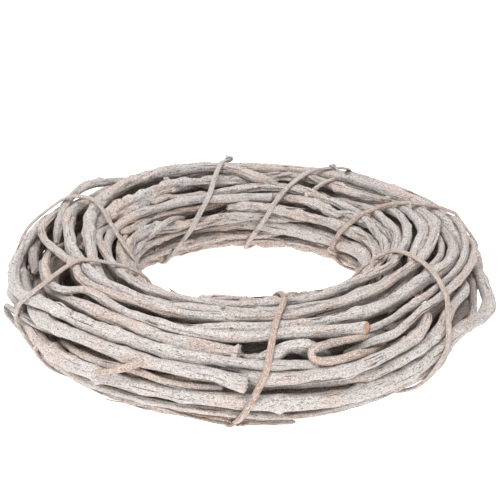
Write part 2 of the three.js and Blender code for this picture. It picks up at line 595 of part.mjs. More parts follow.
// A strip's corners: the taut outline of straight stretches round the discs, one stretch flat on the
// ground, each corner with the directions out of the bundle, along the strip and across it
function stripCorners(discs, course) {
  const FLAT_HALF = 3;
  const LEAST_STEEPNESS = 0.65;
  const turn = 2 * Math.PI / STRIP_STRETCHES;
  const grow = STRIP_GAP + STRIP_THICKNESS / 2;
  const direction = (stretch) => [Math.cos(stretch * turn), Math.sin(stretch * turn)];
  const reaches = Array.from({ length: STRIP_STRETCHES }, (_, stretch) => {
    const [x, y] = direction(stretch);
    return Math.max(...discs.map(([outward, height, radius]) => outward * x + height * y + radius + grow));
  });
  const down = 3 * STRIP_STRETCHES / 4;
  reaches[down] = -GROUND - STRIP_THICKNESS / 2;
  for (const beside of [down - 1, down + 1]) {
    const least = reaches[down] * Math.cos(turn) + FLAT_HALF * Math.sin(turn);
    reaches[beside] = Math.max(reaches[beside], least);
  }
  const corners = reaches.map((reach, stretch) => {
    const [x, y] = direction(stretch);
    const next = (stretch + 1) % STRIP_STRETCHES;
    const slide = (reaches[next] - reach * Math.cos(turn)) / Math.sin(turn);
    const outward = reach * x - slide * y;
    const height = reach * y + slide * x;
    const around = radians(course(acrossOf(outward, height)));
    const radial = new THREE.Vector3(Math.cos(around), Math.sin(around), 0);
    const [outX, outY] = direction(stretch + 0.5);
    return { place: radial.clone().multiplyScalar(RING_RADIUS + outward).setZ(height),
      out: radial.clone().multiplyScalar(outX).setZ(outY) };
  });
  corners.forEach((corner, index) => {
    const before = corners[(index + STRIP_STRETCHES - 1) % STRIP_STRETCHES].place;
    const after = corners[(index + 1) % STRIP_STRETCHES].place;
    corner.ahead = after.clone().sub(before).normalize();
    corner.side = new THREE.Vector3(-corner.place.y, corner.place.x, 0).normalize();
    const steepness = Math.sqrt(1 - corner.side.dot(corner.ahead) ** 2);
    corner.width = STRIP_WIDTH / Math.max(steepness, LEAST_STEEPNESS);
  });
  return corners;
}

// A closed loop of flat strip through its corners
function stripGeometry(corners) {
  const mitre = 1 / Math.cos(Math.PI / STRIP_STRETCHES);
  const edges = [[1, 1], [-1, 1], [-1, -1], [1, -1]];
  const geometry = new THREE.TorusGeometry(1, 0.5, edges.length, STRIP_STRETCHES);
  const { position, uv } = geometry.attributes;
  for (let vertex = 0; vertex < position.count; vertex++) {
    const stretch = Math.round(uv.getX(vertex) * STRIP_STRETCHES) % STRIP_STRETCHES;
    const { place, side, out, width } = corners[stretch];
    const [aside, above] = edges[Math.round(uv.getY(vertex) * edges.length) % edges.length];
    const corner = place.clone().addScaledVector(side, aside * width / 2)
      .addScaledVector(out, above * mitre * STRIP_THICKNESS / 2);
    position.setXYZ(vertex, corner.x, corner.y, corner.z);
  }
  return closedMesh(geometry);
}

// The knot of a strip, a small squashed ball on its outer face
function knotGeometry({ place, side, out, ahead }) {
  const KNOT = { long: 4.2, wide: 3, high: 2 };
  const RAISED = 1.7;
  const geometry = new THREE.SphereGeometry(1, 8, 6);
  const shape = new THREE.Matrix4().makeBasis(ahead.clone().multiplyScalar(KNOT.long),
    side.clone().multiplyScalar(KNOT.wide), out.clone().multiplyScalar(KNOT.high));
  shape.setPosition(place.clone().addScaledVector(out, RAISED));
  return closedMesh(geometry.applyMatrix4(shape));
}

// The loose end of a strip, a tapered stub that leaves its outer face
function looseEndGeometry({ place, side, out }, length, lean) {
  const ROOT_RADIUS = 1.7;
  const TIP_RADIUS = 0.9;
  const RAISED = 0.2;
  const geometry = new THREE.CylinderGeometry(TIP_RADIUS, ROOT_RADIUS, length, THIN_SIDES);
  geometry.translate(0, length / 2, 0);
  const heading = out.clone().applyAxisAngle(out.clone().cross(side).normalize(), radians(lean));
  geometry.applyQuaternion(new THREE.Quaternion().setFromUnitVectors(new THREE.Vector3(0, 1, 0), heading));
  const clearance = ROOT_RADIUS * Math.sin(radians(Math.abs(lean)));
  const root = place.clone().addScaledVector(out, RAISED + clearance);
  return closedMesh(geometry.translate(root.x, root.y, root.z));
}

function nearestCorner(corners, across) {
  const target = Math.cos(radians(across));
  const targetUp = Math.sin(radians(across));
  const miss = ({ place }) => {
    const at = radians(acrossOf(Math.hypot(place.x, place.y) - RING_RADIUS, place.z));
    return Math.hypot(Math.cos(at) - target, Math.sin(at) - targetUp);
  };
  return corners.reduce((best, corner) => (miss(corner) < miss(best) ? corner : best));
}

function toSolid(geometry) {
  return new wasm.Manifold(new wasm.Mesh({ numProp: 3,
    vertProperties: new Float32Array(geometry.attributes.position.array),
    triVerts: new Uint32Array(geometry.index.array) }));
}

function toGeometry(solid) {
  const { vertProperties, triVerts } = solid.getMesh();
  const geometry = new THREE.BufferGeometry();
  geometry.setAttribute("position", new THREE.BufferAttribute(vertProperties, 3));
  geometry.setIndex(new THREE.BufferAttribute(triVerts, 1));
  return geometry;
}

function boundStrip(wayPoints, { knots, ends }) {
  const course = stripCourse(wayPoints);
  const corners = stripCorners(discsUnderStrip(shoots, course), course);
  let solid = toSolid(stripGeometry(corners));
  for (const across of knots) solid = solid.add(toSolid(knotGeometry(nearestCorner(corners, across))));
  for (const [across, length, lean] of ends) {
    solid = solid.add(toSolid(looseEndGeometry(nearestCorner(corners, across), length, lean)));
  }
  return toGeometry(solid);
}

const wreath = new THREE.Group();

function addPiece(name, geometry, finish) {
  const mesh = new THREE.Mesh(geometry, new THREE.MeshStandardMaterial(finish));
  mesh.name = name;
  wreath.add(mesh);
}

for (const shoot of shoots) addPiece(shoot.name, shootGeometry(shoot), shoot.finish);
for (const [name, wayPoints, extras] of STRIPS) addPiece(name, boundStrip(wayPoints, extras), SPLIT_STRIP);

// The origin is under the middle of the whole wreath, on the surface it rests on
const middle = new THREE.Box3().setFromObject(wreath).getCenter(new THREE.Vector3());
wreath.position.set(-middle.x, -middle.y, -GROUND);

export default wreath;
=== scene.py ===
"""Twig wreath: whitewashed vine shoots bent round a ring and bound with split strips.

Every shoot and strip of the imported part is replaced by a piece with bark, leaf nodes, torn or cut ends
and a fibrous finish, made straight and then bent along the course of the part's own solid.
"""

import math

import bmesh
import bpy
import numpy as np
from bpy.props import FloatProperty, FloatVectorProperty, IntProperty, PointerProperty
from mathutils import Matrix, Vector


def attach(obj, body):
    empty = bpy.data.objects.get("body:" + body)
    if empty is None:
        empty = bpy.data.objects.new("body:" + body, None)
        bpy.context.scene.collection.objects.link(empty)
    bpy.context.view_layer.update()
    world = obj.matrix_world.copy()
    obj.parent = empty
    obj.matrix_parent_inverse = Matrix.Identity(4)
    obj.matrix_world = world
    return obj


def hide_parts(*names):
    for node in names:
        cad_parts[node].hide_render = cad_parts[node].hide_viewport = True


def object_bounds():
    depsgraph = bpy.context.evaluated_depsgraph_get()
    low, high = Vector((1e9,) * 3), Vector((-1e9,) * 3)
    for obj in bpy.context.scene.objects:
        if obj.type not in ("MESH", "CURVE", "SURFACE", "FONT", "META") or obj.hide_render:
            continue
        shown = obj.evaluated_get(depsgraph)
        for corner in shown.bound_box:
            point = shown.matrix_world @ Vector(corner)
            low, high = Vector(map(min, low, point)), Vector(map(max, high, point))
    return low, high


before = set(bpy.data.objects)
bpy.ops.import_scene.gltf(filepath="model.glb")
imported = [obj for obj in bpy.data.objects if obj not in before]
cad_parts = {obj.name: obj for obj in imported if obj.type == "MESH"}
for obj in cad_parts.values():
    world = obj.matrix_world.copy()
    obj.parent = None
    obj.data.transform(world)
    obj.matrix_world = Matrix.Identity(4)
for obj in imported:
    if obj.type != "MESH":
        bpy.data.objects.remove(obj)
CAD_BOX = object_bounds()

bl_info = {
    "name": "Twig wreath",
    "version": (1, 0, 0),
    "blender": (4, 5, 0),
    "location": "3D View > Sidebar > Wreath",
    "description": "Dresses the twig wreath with bark, torn ends and split binding strips",
    "category": "Add Mesh",
}

MM = 0.001
FULL_TURN = 2 * math.pi
SEED = 1435

# The part's own measures, in metres, and the number of corners of a strip's solid
RING_CENTRE = np.array([0.00137, 0.00382, 0.04065])
RING_RADIUS = 0.147
BUNDLE_HALF_WIDTH = 0.053
BUNDLE_HALF_HEIGHT = 0.0385
STRIP_THICKNESS = 1.7 * MM
STRIP_CORNERS = 20

# Vertices of a solid that are closer than this are one
MERGE_DISTANCE = 0.02 * MM

# Vertices of a stick that lie this close to the height of its end belong to the end
END_TOLERANCE = 1e-6

# A strip's corners are the edges of its solid that are level to this distance, and at least this long
LEVEL = 0.03 * MM
LEAST_STRIP_WIDTH = 3.3 * MM

# What each shoot is like: finish, "tone" (0 is grey wash, 1 is pinkish and more is rusty), and kind of
# bark
SHOOTS = {
    "inner_rim_shoot": ("whitewashed_bark", 0.4, "grooved"),
    "top_shoot": ("whitewashed_bark", 0.3, "grooved"),
    "crossing_shoot": ("whitewashed_bark", 0.35, "grooved"),
    "front_top_thick_shoot": ("whitewashed_bark", 0.12, "rough"),
    "arching_shoot": ("whitewashed_bark", 0.35, "grooved"),
    "torn_end_shoot": ("whitewashed_bark", 0.65, "grooved"),
    "front_outer_shoot": ("whitewashed_bark", 0.08, "rough"),
    "front_right_thick_shoot": ("whitewashed_bark", 0.3, "rough"),
    "knobbed_end_shoot": ("whitewashed_bark", 0.05, "rough"),
    "long_outline_shoot": ("whitewashed_bark", 0.3, "rough"),
    "thin_front_tendril": ("bare_brown_bark", 0.8, "smooth"),
    "short_orange_shoot": ("bare_brown_bark", 1.4, "grooved"),
    "low_front_shoot": ("whitewashed_bark", 0.6, "rough"),
    "bottom_front_shoot": ("whitewashed_bark", 1.0, "furrowed"),
    "bottom_left_shoot": ("pale_pink_bark", 1.1, "furrowed"),
    "side_loop_tendril": ("bare_brown_bark", 0.35, "smooth"),
    "forked_shoot_upper": ("whitewashed_bark", 0.3, "grooved"),
    "forked_shoot_lower": ("whitewashed_bark", 0.25, "grooved"),
    "hooked_tendril": ("bare_brown_bark", 0.75, "smooth"),
    "gnarled_branch": ("whitewashed_bark", 0.05, "gnarled"),
    "front_low_thick_shoot": ("whitewashed_bark", 0.25, "rough"),
    "right_inner_shoot": ("whitewashed_bark", 0.4, "furrowed"),
    "right_top_shoot": ("whitewashed_bark", 0.3, "rough"),
    "right_short_shoot": ("whitewashed_bark", 0.35, "smooth"),
    "broken_end_shoot": ("whitewashed_bark", 0.5, "gnarled"),
    "back_top_shoot": ("whitewashed_bark", 0.5, "furrowed"),
    "left_top_shoot": ("whitewashed_bark", 0.25, "rough"),
    "pale_end_shoot": ("whitewashed_bark", 0.15, "smooth"),
    "reddish_shoot": ("bare_brown_bark", 1.1, "furrowed"),
    "back_upper_inner_shoot": ("pale_pink_bark", 0.7, "furrowed"),
    "back_middle_inner_shoot": ("pale_pink_bark", 0.65, "furrowed"),
    "back_lower_inner_shoot": ("pale_pink_bark", 0.75, "furrowed"),
    "wide_smooth_shoot": ("pale_pink_bark", 0.55, "grooved"),
    "back_bottom_inner_shoot": ("pale_pink_bark", 1.0, "furrowed"),
    "back_right_inner_shoot": ("pale_pink_bark", 0.55, "furrowed"),
    "pale_pointed_tip": ("whitewashed_bark", 0.3, "smooth"),
    "outer_back_shoot_1": ("whitewashed_bark", 0.3, "rough"),
    "outer_back_shoot_2": ("whitewashed_bark", 0.2, "grooved"),
    "outer_back_shoot_3": ("whitewashed_bark", 0.4, "rough"),
    "outer_back_shoot_4": ("whitewashed_bark", 0.3, "grooved"),
    "underside_shoot_1": ("pale_pink_bark", 0.5, "grooved"),
    "underside_shoot_2": ("pale_pink_bark", 0.7, "rough"),
    "underside_shoot_3": ("pale_pink_bark", 0.6, "grooved"),
    "underside_shoot_4": ("pale_pink_bark", 0.7, "rough"),
    "underside_shoot_5": ("pale_pink_bark", 0.5, "grooved"),
}
CORE_LOOK = ("bare_brown_bark", 0.4, "rough")
CORE_SHOOTS = [f"core_shoot_{number}" for number in range(1, 9)]
UNDERSIDE_SHOOTS = [f"underside_shoot_{number}" for number in range(1, 6)]

# A shoot with a smaller mean radius than this has fewer faces and sways less
SLIM_RADIUS = 3.2 * MM

# The kinds of a shoot's two ends, where they aren't both torn. The shoots run anticlockwise seen from
# above, and the ends are given in that order.
SHOOT_ENDS = {
    "arching_shoot": ("torn", "cut"),
    "torn_end_shoot": ("torn", "frayed"),
    "knobbed_end_shoot": ("torn", "knob"),
    "pale_end_shoot": ("cut", "torn"),
}
TORN_ENDS = ("torn", "torn")

# Kinds of ends: the place of the face's material in a shoot's list of three (bark, torn wood, cut wood),
# and how ragged the face is and how far it bulges, as shares of the shoot's radius
ENDS = {
    "cut": {"material": 2, "jag": 0.04, "dome": -0.04},
    "torn": {"material": 1, "jag": 0.55, "dome": 0.25},
    "frayed": {"material": 1, "jag": 0.8, "dome": 0.5},
    "knob": {"material": 0, "jag": 0.45, "dome": 0.3},
}

# How far a torn face slants at most, as a rise against its width
TORN_SLANT = 0.3

# The rings of faces on an end, each inset by this share of the radius
END_INSETS = (0.3, 0.3, 0.25)

# Kinds of bark: the depth of ridges and cracks in mm, and how far a shoot is out of round, how lumpy
# it is and how far its leaf nodes and burrs stand out, as shares of its radius
BARKS = {
    "smooth": {"oval": 0.08, "ridges": 0.16, "cracks": 0.35, "lumps": 0.05, "nodes": 0.16, "burrs": 0.02},
    "grooved": {"oval": 0.13, "ridges": 0.45, "cracks": 0.75, "lumps": 0.06, "nodes": 0.18, "burrs": 0.03},
    "rough": {"oval": 0.12, "ridges": 0.34, "cracks": 0.6, "lumps": 0.1, "nodes": 0.22, "burrs": 0.05},
    "furrowed": {"oval": 0.24, "ridges": 1.0, "cracks": 1.6, "lumps": 0.12, "nodes": 0.16, "burrs": 0.12},
    "gnarled": {"oval": 0.2, "ridges": 0.9, "cracks": 1.3, "lumps": 0.12, "nodes": 0.25, "burrs": 0.14},
}

# How many ridges, cracks and burrs there are round a shoot, each number of them a wave of its own
RIDGE_COUNTS = (5, 7, 9, 12)
CRACK_COUNTS = (2, 3, 4)
BURR_COUNTS = (2, 3, 5)

# Random waves along a shoot: length in mm, and how many there are of the kind
WAVES = {
    "thickness": (45, 1),
    "lumps": (11, 1),
    "twist": (90, 1),
    "oval": (40, 1),
    "corners": (30, 1),
    "ridges": (22, len(RIDGE_COUNTS)),
    "ridge_shifts": (35, len(RIDGE_COUNTS)),
    "cracks": (28, len(CRACK_COUNTS)),
    "crack_shifts": (24, len(CRACK_COUNTS)),
    "burrs": (6, len(BURR_COUNTS)),
}

# How many seeds are drawn for them
WAVE_SEEDS = 24

# Leaf nodes: half the length of the thickening and of its bud, how far ahead the bud sits, and half the
# angle round the shoot that it takes up
NODE_LENGTH, BUD_LENGTH, BUD_AHEAD = 4.5 * MM, 2.6 * MM, 2 * MM
BUD_ANGLE = 0.7

# How fast the ridges turn round a shoot, in radians per metre
TWIST_RATE = 6

# How a shoot sways: the lengths of its waves across and up, how far it kinks at its leaf nodes against its
# sway, and the stretch at each end where it eases back to its even course
SWAY_LENGTHS = (26 * MM, 31 * MM)
KINK = 1.1
EASE_LENGTH = 12 * MM

# Stumps of side shoots: piece, place round the ring in degrees, direction round the shoot's own section
# in degrees (0 outwards, 90 up), height and thickness in mm
STUMPS = [
    ("short_orange_shoot", 255, 80, 5.5, 3.4),
    ("crossing_shoot", 182, 60, 4, 3.6),
    ("left_top_shoot", 166, 120, 4, 4.5),
    ("broken_end_shoot", 124, 60, 2.6, 5),
    ("right_top_shoot", 17, 60, 5, 3.4),
    ("right_top_shoot", 352, 20, 3, 3.6),
    ("right_inner_shoot", 62, 60, 4, 4),
    ("forked_shoot_lower", 347, 30, 3.4, 3.2),
    ("long_outline_shoot", 218, -20, 3, 4.5),
    ("long_outline_shoot", 130, 60, 2, 6),
    ("front_outer_shoot", 226, 70, 2.6, 4.4),
    ("knobbed_end_shoot", 196, 20, 3, 4.6),
    ("back_middle_inner_shoot", 100, 160, 3.4, 3.6),
    ("back_lower_inner_shoot", 120, 150, 3, 4),
    ("right_inner_shoot", 330, 100, 2.6, 3.6),
    ("top_shoot", 262, 70, 2, 3.6),
    ("outer_back_shoot_2", 70, 20, 4, 4),
    ("outer_back_shoot_1", 110, 30, 2, 5.5),
    ("outer_back_shoot_3", 60, 0, 3, 4),
]

# The stages in which a stump is drawn out of its shoot: share of its height, and size against the last
STUMP_STAGES = ((0.35, 0.86), (0.35, 0.9), (0.3, 0.72))

# Shreds of peeled bark and fibre on a shoot by its kind of bark, and on the hidden ones: how many per
# metre, and at most how long, how far off the shoot and how wide they are, in mm
SHREDS = {
    "smooth": (0, 10, 1, 2),
    "grooved": (6, 12, 1.2, 2.2),
    "rough": (10, 14, 1.5, 2.4),
    "furrowed": (90, 30, 2.6, 5),
    "gnarled": (90, 20, 2.4, 4.5),
}
CORE_SHREDS = (70, 30, 5.5, 3.5)
UNDERSIDE_SHREDS = (30, 12, 1.2, 3.5)

# Half the thickness of a shred, and the share by which it thins towards its end
SHRED_HALF_THICKNESS, SHRED_TAPER = 0.5 * MM, 0.6

# Broken side shoots and long fibres that the photograph shows, with the shoot each grows on: points in
# mm from its thick end, half its width and half its thickness in mm, the share by which it thins
# towards its end, and its tone
SIDE_TWIGS = [
    ("thin_front_tendril", [(-68, -174.5, 59), (-79, -181, 58), (-92, -177, 52), (-107, -167.5, 45)],
     3.0, 2.7, 0.35, 0.9),
    ("underside_shoot_2", [(-10, -179, 12.5), (6, -179, 12), (21, -177.5, 11), (33, -175.5, 9.5)],
     2.7, 2.2, 0.3, 0.6),
    ("bottom_front_shoot", [(-2, -184.5, 13), (-22, -184.5, 16), (-42, -183, 20), (-64, -177, 24)],
     1.2, 0.7, 0.5, 1.3),
    ("bottom_front_shoot", [(-6, -187, 14), (-18, -186.5, 20), (-34, -185, 21.5), (-52, -180.5, 24)],
     1.0, 0.6, 0.5, 1.5),
    ("bottom_front_shoot", [(4, -183, 14), (-14, -185, 14.5), (-30, -184, 17), (-46, -180.5, 20)],
     1.3, 0.7, 0.4, 1.2),
    ("bottom_front_shoot", [(-4, -187, 14), (2, -187.5, 17), (10, -186, 15), (20, -182.5, 12)],
     0.9, 0.6, 0.5, 1.4),
    ("core_shoot_7", [(140, 8, 45), (147, 14, 43), (153, 20, 42), (160, 29, 38)], 4, 3, 0.2, 0.3),
    ("long_outline_shoot", [(177, -42, 55), (175.5, -60, 48), (172.5, -78, 45), (166, -98, 46)],
     3.4, 3, 0.3, 0.5),
    ("outer_back_shoot_4", [(170, -36, 42), (172, -54, 38), (170, -72, 35), (162, -92, 34)],
     4, 3, 0.2, 0.9),
    ("back_middle_inner_shoot", [(-100, 6, 50), (-95, 18, 52), (-90, 43, 49.5), (-83, 46, 54.5),
                                 (-77, 56, 57), (-71, 67, 57), (-65, 80, 54), (-58, 92, 49)],
     3.2, 2.8, 0.2, 0.1),
    ("broken_end_shoot", [(-88, 83, 67.5), (-75, 99, 67), (-67, 102, 65.5), (-54, 109, 64.5),
                          (-40, 115, 65.5)],
     4.5, 2, 0.4, 0.7),
    ("wide_smooth_shoot", [(-59, 94, 31), (-48, 98, 33.5), (-36, 101.5, 35), (-22, 103.5, 37),
                           (-9, 103, 40.5), (3, 95.5, 47), (15, 96.5, 50)],
     1.8, 1.3, 0.5, 0.9),
    ("reddish_shoot", [(-107, 20, 65.5), (-103, 28.5, 64.5), (-99, 38.5, 62), (-94, 46.5, 61),
                       (-90, 55, 61.5), (-85, 61, 62)],
     4.5, 1.8, 0.4, 0.2),
]

# The way that the flat of a side twig faces
TWIG_UP = (0, -0.5, 1)

# Faces round a strand and their length along it. Shreds come in hundreds, so theirs are few.
STRAND_SIDES, STRAND_STEP = 10, 0.8 * MM
SHRED_SIDES, SHRED_STEP = 6, 4 * MM

# Burrs on shoots inside the bundle: piece, place round the ring in degrees, and thickness against the
# rest of the shoot
SWELLINGS = [
    ("core_shoot_8", 165, 1.75),
    ("core_shoot_7", 168, 1.8),
    ("core_shoot_2", 185, 1.6),
    ("core_shoot_6", 284, 1.8),
    ("core_shoot_8", 22, 1.8),
]
SWELLING_LENGTH = 14 * MM

# Where on the bundle the face of a cut end looks, in degrees (0 outwards, 90 up), and how slanted it is
CUTS = {"arching_shoot": (27, 1.15), "pale_end_shoot": (170, 0)}
SQUARE_CUT = (0, 0)

# Splinters round an end by its kind: how many, and how long at most in mm
SPLINTERS = {"frayed": (22, 6), "knob": (15, 3.6)}

# The stretch of a shoot that a slanted end shears, in radii
SHEARED_LENGTH = 2.5

# Shown strips against their solids: width, and height of the outer face. Then the faces round a strip, and
# the depth and number of the ripples round it.
STRIP_SWELLING = 1.12
STRIP_BULGE = 1.9
STRIP_SIDES = 14
STRIP_RIPPLE = 0.22 * MM
STRIP_RIPPLES = 7

# How much a strip's width wavers, and how square its section is, edgewise and flatwise (1 is round)
STRIP_WAVER = 0.08
STRIP_SQUARENESS = (0.75, 0.85)

# A knot's strand: turns round the strip, from and to, and in mm how far it reaches aside, its middle height,
# how far it rises and falls, and how far each turn moves it along the strip. Its section, in metres, is
# half its width, half its thickness and the share by which it thins.
KNOT_TURNS = (-0.35, 1.45)
KNOT_ASIDE, KNOT_MIDDLE, KNOT_RISE, KNOT_PITCH = 3.1, 1.1, 1.9, 3.8
KNOT_SECTION = (1.7 * MM, 1.1 * MM, 0.15)

# A loose end's strand: section as above, and how far it droops at a full lean, as a share of its length
LOOSE_END_SECTION = (2 * MM, 1.2 * MM, 0.4)
LOOSE_END_DROOP = 0.75

# Binding strips: "tone" from grey (0) to brown (1), where each is knotted and where it has loose ends.
# Both are given in degrees round the bundle (0 outside, 90 on top), an end also by its length in mm
# and its lean round the ring in degrees.
STRIPS = {
    "front_strip": {"tone": 0.8, "knots": [-58], "ends": [(108, 15, 50), (-60, 5.5, -20)]},
    "back_left_strip": {"tone": 0.1, "knots": [76], "ends": [(76, 8, 30)]},
    "back_strip": {"tone": 0.3, "knots": [80], "ends": [(80, 9, -75)]},
    "back_right_strip": {"tone": 0.7, "knots": [195], "ends": [(195, 7, -60)]},
    "right_strip": {"tone": 0.6, "knots": [], "ends": []},
    "front_left_strip": {"tone": 0.5, "knots": [], "ends": []},
    "left_strip": {"tone": 0.4, "knots": [], "ends": []},
}


def colour_setting(name, description, default):
    """A setting that is a colour."""
    return FloatVectorProperty(name=name, description=description, default=default, subtype="COLOR",
                               size=3, min=0.0, max=1.0)


def length_setting(name, description, default, least=0.0):
    """A setting that is a length in metres."""
    return FloatProperty(name=name, description=description, default=default, min=least, unit="LENGTH")


class WreathBarkSettings(bpy.types.PropertyGroup):
    """Fineness and relief of the shoots."""

    sides: IntProperty(
        name="Sides", description="Faces round a shoot that shows", default=32, min=12, max=64)
    step: length_setting("Step", "Length of a face along a shoot that shows", 1.7 * MM, 0.5 * MM)
    hidden_sides: IntProperty(
        name="Hidden sides", description="Faces round a shoot inside the bundle", default=16, min=8, max=48)
    hidden_step: length_setting(
        "Hidden step", "Length of a face along a shoot inside the bundle", 3.2 * MM, 1 * MM)
    hidden_swelling: FloatProperty(
        name="Hidden swelling", description="Thickness of shoots inside the bundle, against their solids",
        default=1.14, min=1.0, max=1.2)
    relief: FloatProperty(
        name="Relief", description="Depth of ridges, cracks and lumps against the usual", default=1.0,
        min=0.0, max=3.0)
    node_spacing: length_setting(
        "Node spacing", "Usual distance from one leaf node to the next", 62 * MM, 20 * MM)
    sway: length_setting("Sway", "How far a shoot wanders from its even course", 0.45 * MM)


class WreathColourSettings(bpy.types.PropertyGroup):
    """Colours of the bark, the strips and the bare wood."""

    wash_grey: colour_setting("Grey wash", "Whitewash where it lies thick", (0.555, 0.515, 0.495))
    wash_pink: colour_setting("Pinkish wash", "Whitewash where the bark warms it", (0.59, 0.455, 0.39))
    # The bark colour is also multiplied into the bark deep in the bundle as painted shade
    bark: colour_setting("Bark", "Bark where the wash is thin", (0.24, 0.18, 0.15))
    crack: colour_setting("Cracks", "Inside of cracks and pits", (0.06, 0.045, 0.04))
    rust: colour_setting("Rust", "Orange-brown patches of bare bark", (0.46, 0.28, 0.18))
    dust: colour_setting("Chalk", "Chalky tops of ridges and nodes", (0.78, 0.76, 0.74))
    fresh_wood: colour_setting("Cut wood", "Wood of a cut end", (0.66, 0.35, 0.2))
    strip: colour_setting("Strip", "Split vine of the binding strips", (0.52, 0.36, 0.28))


class WreathStageSettings(bpy.types.PropertyGroup):
    """Floor, lights and camera."""

    floor: colour_setting("Floor", "Colour of the pale floor", (0.9, 0.9, 0.9))
    floor_glow: FloatProperty(
        name="Floor glow", description="Light that the floor adds, as in a white studio", default=0.85,
        min=0.0)
    surround: FloatProperty(
        name="Surround", description="Strength of the white surround", default=0.8, min=0.0)
    key_power: FloatProperty(
        name="Key light", description="Power of the large soft light overhead", default=13.0, min=0.0,
        unit="POWER")
    camera_distance: length_setting(
        "Camera distance", "From the camera to the middle of the wreath", 0.864, 0.2)
    camera_height: FloatProperty(
        name="Camera height", description="Angle of the camera above the horizon",
        default=math.radians(25), subtype="ANGLE", unit="ROTATION")
    aim_height: length_setting("Aim height", "Height of the point aimed at, above the floor", 57.85 * MM)
    lens: FloatProperty(
        name="Lens", description="Focal length on a 36 mm sensor, in mm", default=74.66, min=10.0)


# Random values

def generator(name):
    """The seeded source of random values for one piece."""
    return np.random.default_rng([SEED, *name.encode()])


def drift(draw, place, wavelength):
    """A smooth random curve from -1 to 1, read at the given places along a piece."""
    lowest = float(np.min(place))
    count = int((float(np.max(place)) - lowest) / wavelength) + 3
    values = draw.uniform(-1, 1, count)
    position = (np.asarray(place) - lowest) / wavelength
    index = np.floor(position).astype(int)
    part = position - index
    part = part * part * (3 - 2 * part)
    return values[index] * (1 - part) + values[index + 1] * part


def smooth_step(low, high, value):
    """0 below low, 1 above high and a smooth rise between."""
    part = np.clip((value - low) / (high - low), 0, 1)
    return part * part * (3 - 2 * part)


def cos_sin(degrees):
    """The cosine and the sine of an angle in degrees."""
    return math.cos(math.radians(degrees)), math.sin(math.radians(degrees))


# Courses

def rings_from(cap):
    """The rings of vertices of a tube, counted from the middle of its cap, or None from elsewhere."""
    seen = {cap}
    rings = [[cap]]
    ring_size = None
    while True:
        ring = []
        for vertex in rings[-1]:
            for edge in vertex.link_edges:
                other = edge.other_vert(vertex)
                if other not in seen:
                    seen.add(other)
                    ring.append(other)
        ring_size = ring_size or len(ring)
        if len(ring) == 1 and len(rings) > 2:
            return rings[1:]
        if len(ring) != ring_size:
            return None
        rings.append(ring)


def solid(node):
    """The mesh of a CAD node, with its vertices merged."""
    mesh = bmesh.new()
    mesh.from_mesh(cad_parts[node].data)
    bmesh.ops.remove_doubles(mesh, verts=mesh.verts, dist=MERGE_DISTANCE)
    return mesh


def cad_tube(node):
    """Centres and radii of the rings of a shoot's solid, in anticlockwise order round the wreath."""
    mesh = solid(node)
    rings = next((found for found in map(rings_from, mesh.verts) if found), None)
    if rings is None:
        raise RuntimeError(f"{node} isn't a tube with capped ends")
    corners = [np.array([vertex.co for vertex in ring]) for ring in rings]
    mesh.free()
    centres = np.array([ring.mean(axis=0) for ring in corners])
    radii = np.array([np.linalg.norm(ring - ring.mean(axis=0), axis=1).mean() for ring in corners])
    arms = centres - RING_CENTRE
    turning = np.cross(arms[:-1], arms[1:])[:, 2].sum()
    if turning < 0:
        centres, radii = centres[::-1], radii[::-1]
    return centres, radii


def through(points, where):
    """A smooth curve through evenly counted points, read at places counted the same way."""
    points = np.asarray(points, float)
    before = 2 * points[0] - points[1]
    after = 2 * points[-1] - points[-2]
    padded = np.concatenate([[before], points, [after]])
    index = np.clip(np.floor(where).astype(int), 0, len(points) - 2)
    part = np.asarray(where) - index
    if points.ndim > 1:
        part = part[:, None]
    a, b, c, d = padded[index], padded[index + 1], padded[index + 2], padded[index + 3]
    return 0.5 * (2 * b + (c - a) * part + (2 * a - 5 * b + 4 * c - d) * part ** 2
                  + (3 * b - a - 3 * c + d) * part ** 3)


def unit(vectors):
    """Vectors of length 1 in the same directions."""
    return vectors / np.maximum(np.linalg.norm(vectors, axis=-1, keepdims=True), 1e-12)


class Course:
    """An even-stepped line with directions ahead, across and up at each point of it."""

    def __init__(self, points, step, up=(0, 0, 1)):
        points = np.asarray(points, float)
        fine = through(points, np.linspace(0, len(points) - 1, 24 * (len(points) - 1) + 1))
        run = np.concatenate([[0], np.cumsum(np.linalg.norm(np.diff(fine, axis=0), axis=1))])
        self.length = float(run[-1])
        self.count = max(6, int(round(self.length / step)))
        self.at = np.linspace(0, self.length, self.count + 1)
        self.station = np.interp(self.at, run, np.linspace(0, len(points) - 1, len(fine)))
        self.points = through(points, self.station)
        self.turn(np.array(up, float))

    def turn(self, up):
        """Carries the directions along the line without twist."""
        self.ahead = unit(np.gradient(self.points, axis=0))
        self.across = np.zeros_like(self.points)
        self.up = np.zeros_like(self.points)
        for index, ahead in enumerate(self.ahead):
            across = unit(np.cross(ahead, up))
            up = np.cross(across, ahead)
            self.across[index], self.up[index] = across, up

    def read(self, values, place):
        """Values of this line's points, read at distances along it."""
        position = np.clip(place / self.length, 0, 1) * self.count
        index = np.minimum(position.astype(int), self.count - 1)
        part = position - index
        if values.ndim > 1:
            part = part[:, None]
        return values[index] * (1 - part) + values[index + 1] * part

    def sideways(self, place, angle):
        """Directions away from the line, at distances along it and angles round it."""
        return (self.read(self.across, place) * np.cos(angle)[:, None]
                + self.read(self.up, place) * np.sin(angle)[:, None])


# Straight sticks

